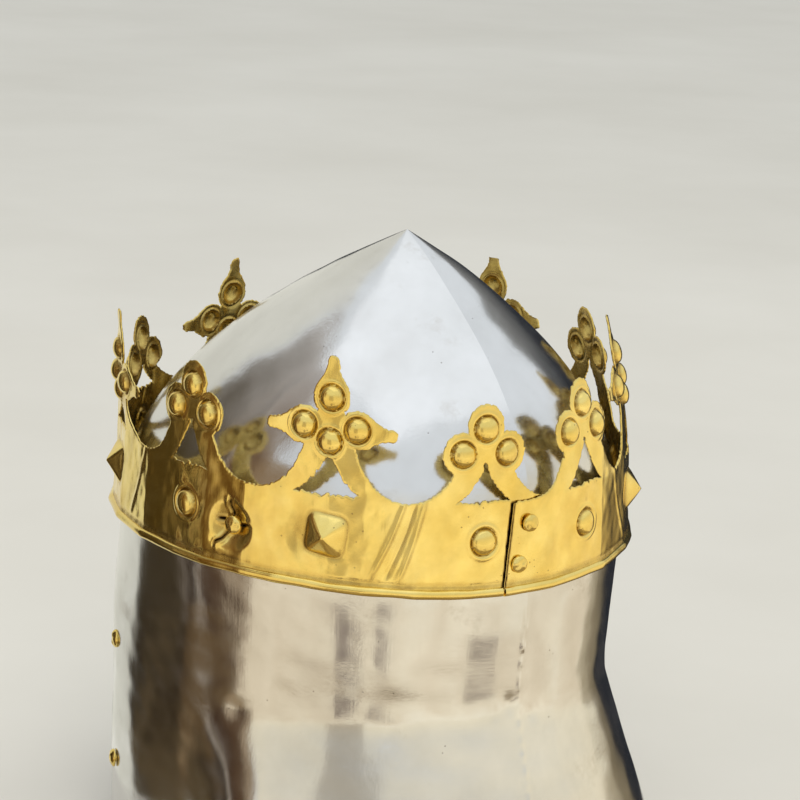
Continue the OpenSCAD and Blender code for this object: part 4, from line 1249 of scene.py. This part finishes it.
make_floor()
floor_card("low_ground", -19, 188, 0.12, 0.28, 9, (0.3, (0.24, 0.18, 0.10)), (0.7, (0.44, 0.35, 0.23)))
floor_card("cream_ground", -19, 178, 0.28, 1.4, 10, (0.3, (0.84, 0.71, 0.51)), (0.55, (0.95, 0.82, 0.61)),
           (0.8, (1.07, 0.96, 0.73)), (1, (1.18, 1.12, 0.94)))
floor_card("tan_ground", 178, 188, 0.16, 1.0, 11, (0.4, (0.40, 0.33, 0.21)), (0.6, (0.52, 0.45, 0.31)))
floor_card("white_ground", -128, -73, 0.16, 1.0, 12, (0.4, (0.76, 0.75, 0.66)), (0.6, (0.84, 0.83, 0.75)))
floor_card("brown_ground_a", -73, -48, 0.16, 0.8, 14, (0.4, (0.03, 0.02, 0.01)), (0.6, (0.10, 0.07, 0.035)))
floor_card("brown_ground_b", -48, -19, 0.16, 0.8, 16, (0.4, (0.10, 0.06, 0.025)), (0.6, (0.32, 0.22, 0.12)))
floor_card("brown_ground_c", 188, 198, 0.16, 0.8, 18, (0.4, (0.16, 0.13, 0.08)), (0.6, (0.26, 0.21, 0.13)))
floor_card("dark_ground", 198, 262, 0.16, 0.8, 20, (0.4, (0.015, 0.018, 0.025)), (0.6, (0.04, 0.04, 0.045)))
card("white_wall", -128, -73, 0.55, 0.0, 1.1, [(0, (0.76, 0.75, 0.66)), (1, (0.84, 0.84, 0.78))])
streak("dark_streak_a", -73, -51, (0.04, 0.028, 0.014), (0.07, 0.05, 0.022))
streak("dark_streak_b", -51, -45, (0.16, 0.13, 0.10), (0.22, 0.17, 0.12))
streak("dark_streak_c", -45, -37.5, (0.03, 0.02, 0.014), (0.06, 0.04, 0.025))
streak("pale_line", -37.5, -35.5, (0.74, 0.66, 0.55), (0.60, 0.50, 0.38), radius=0.33)
streak("brown_streak", -35.5, -19, (0.055, 0.030, 0.018), (0.17, 0.095, 0.045))
streak("tan_streak", -19, -12, (0.40, 0.31, 0.21), (0.30, 0.20, 0.11))
card("brown_mid", -12, 2, 0.50, 0.22, 0.46,
     [(0.0, (0.66, 0.56, 0.42)), (0.5, (0.30, 0.20, 0.11)), (1, (0.45, 0.36, 0.26))])
HAZE = [(0.0, (1.04, 0.94, 0.71)), (0.35, (0.96, 0.89, 0.71)), (0.8, (0.82, 0.79, 0.69)),
        (1, (0.86, 0.89, 0.91))]
card("cream_haze_a", -12, 24, 1.1, 0.0, 0.60, HAZE)
card("cream_haze_b", 48, 188, 1.1, 0.0, 0.60, HAZE)
card("grey_mid", 24, 48, 0.9, 0.0, 0.40, [(0.0, (0.62, 0.54, 0.40)), (1, (0.55, 0.52, 0.45))])
SHADE = [(0.3, (0.08, 0.055, 0.05)), (0.65, (0.20, 0.15, 0.13)), (1, (0.66, 0.57, 0.45))]
floor_card("dark_patch_a", 31, 40, 0.31, 0.46, 22, *SHADE)
floor_card("dark_patch_b", 49, 55, 0.33, 0.46, 22, *SHADE)
floor_card("dark_patch_c", 96, 112, 0.32, 0.355, 22, *SHADE)
sky_look = card_material("sky_card", [(0, (1.02, 1.07, 1.12)), (1, (1.14, 1.19, 1.25))], 0, -0.7, 0.9, 0.8)
stage_mesh("sky_card", [(-0.7, -0.6, 1.7), (0.9, -0.6, 1.7), (0.9, 1.1, 1.7), (-0.7, 1.1, 1.7)],
           [(0, 1, 2, 3)], sky_look, True)
card("right_border", 188, 198, 0.50, 0.0, 0.30, [(0.0, (0.20, 0.16, 0.10)), (1, (0.34, 0.31, 0.26))])
card("right_dark", 198, 262, 0.42, 0.0, 0.46,
     [(0.0, (0.02, 0.022, 0.03)), (0.6, (0.03, 0.033, 0.04)), (1, (0.26, 0.26, 0.25))], 0.15)
world = bpy.data.worlds.new("studio")
world.use_nodes = True
world.node_tree.nodes["Background"].inputs[0].default_value = (0.90, 0.95, 1.0, 1)
world.node_tree.nodes["Background"].inputs[1].default_value = 0.95
bpy.context.scene.world = world
light("key", (0.9, 1.6, 1.9), 0.15, 1.2, 13, (1.0, 0.97, 0.92))
light("side", (1.9, -0.6, 1.2), 0.15, 1.0, 4, (0.92, 0.96, 1.0))
light("top", (-0.3, 0.2, 2.2), 0.1, 1.6, 9, (1, 1, 1))
bpy.context.scene.view_settings.view_transform = "Standard"
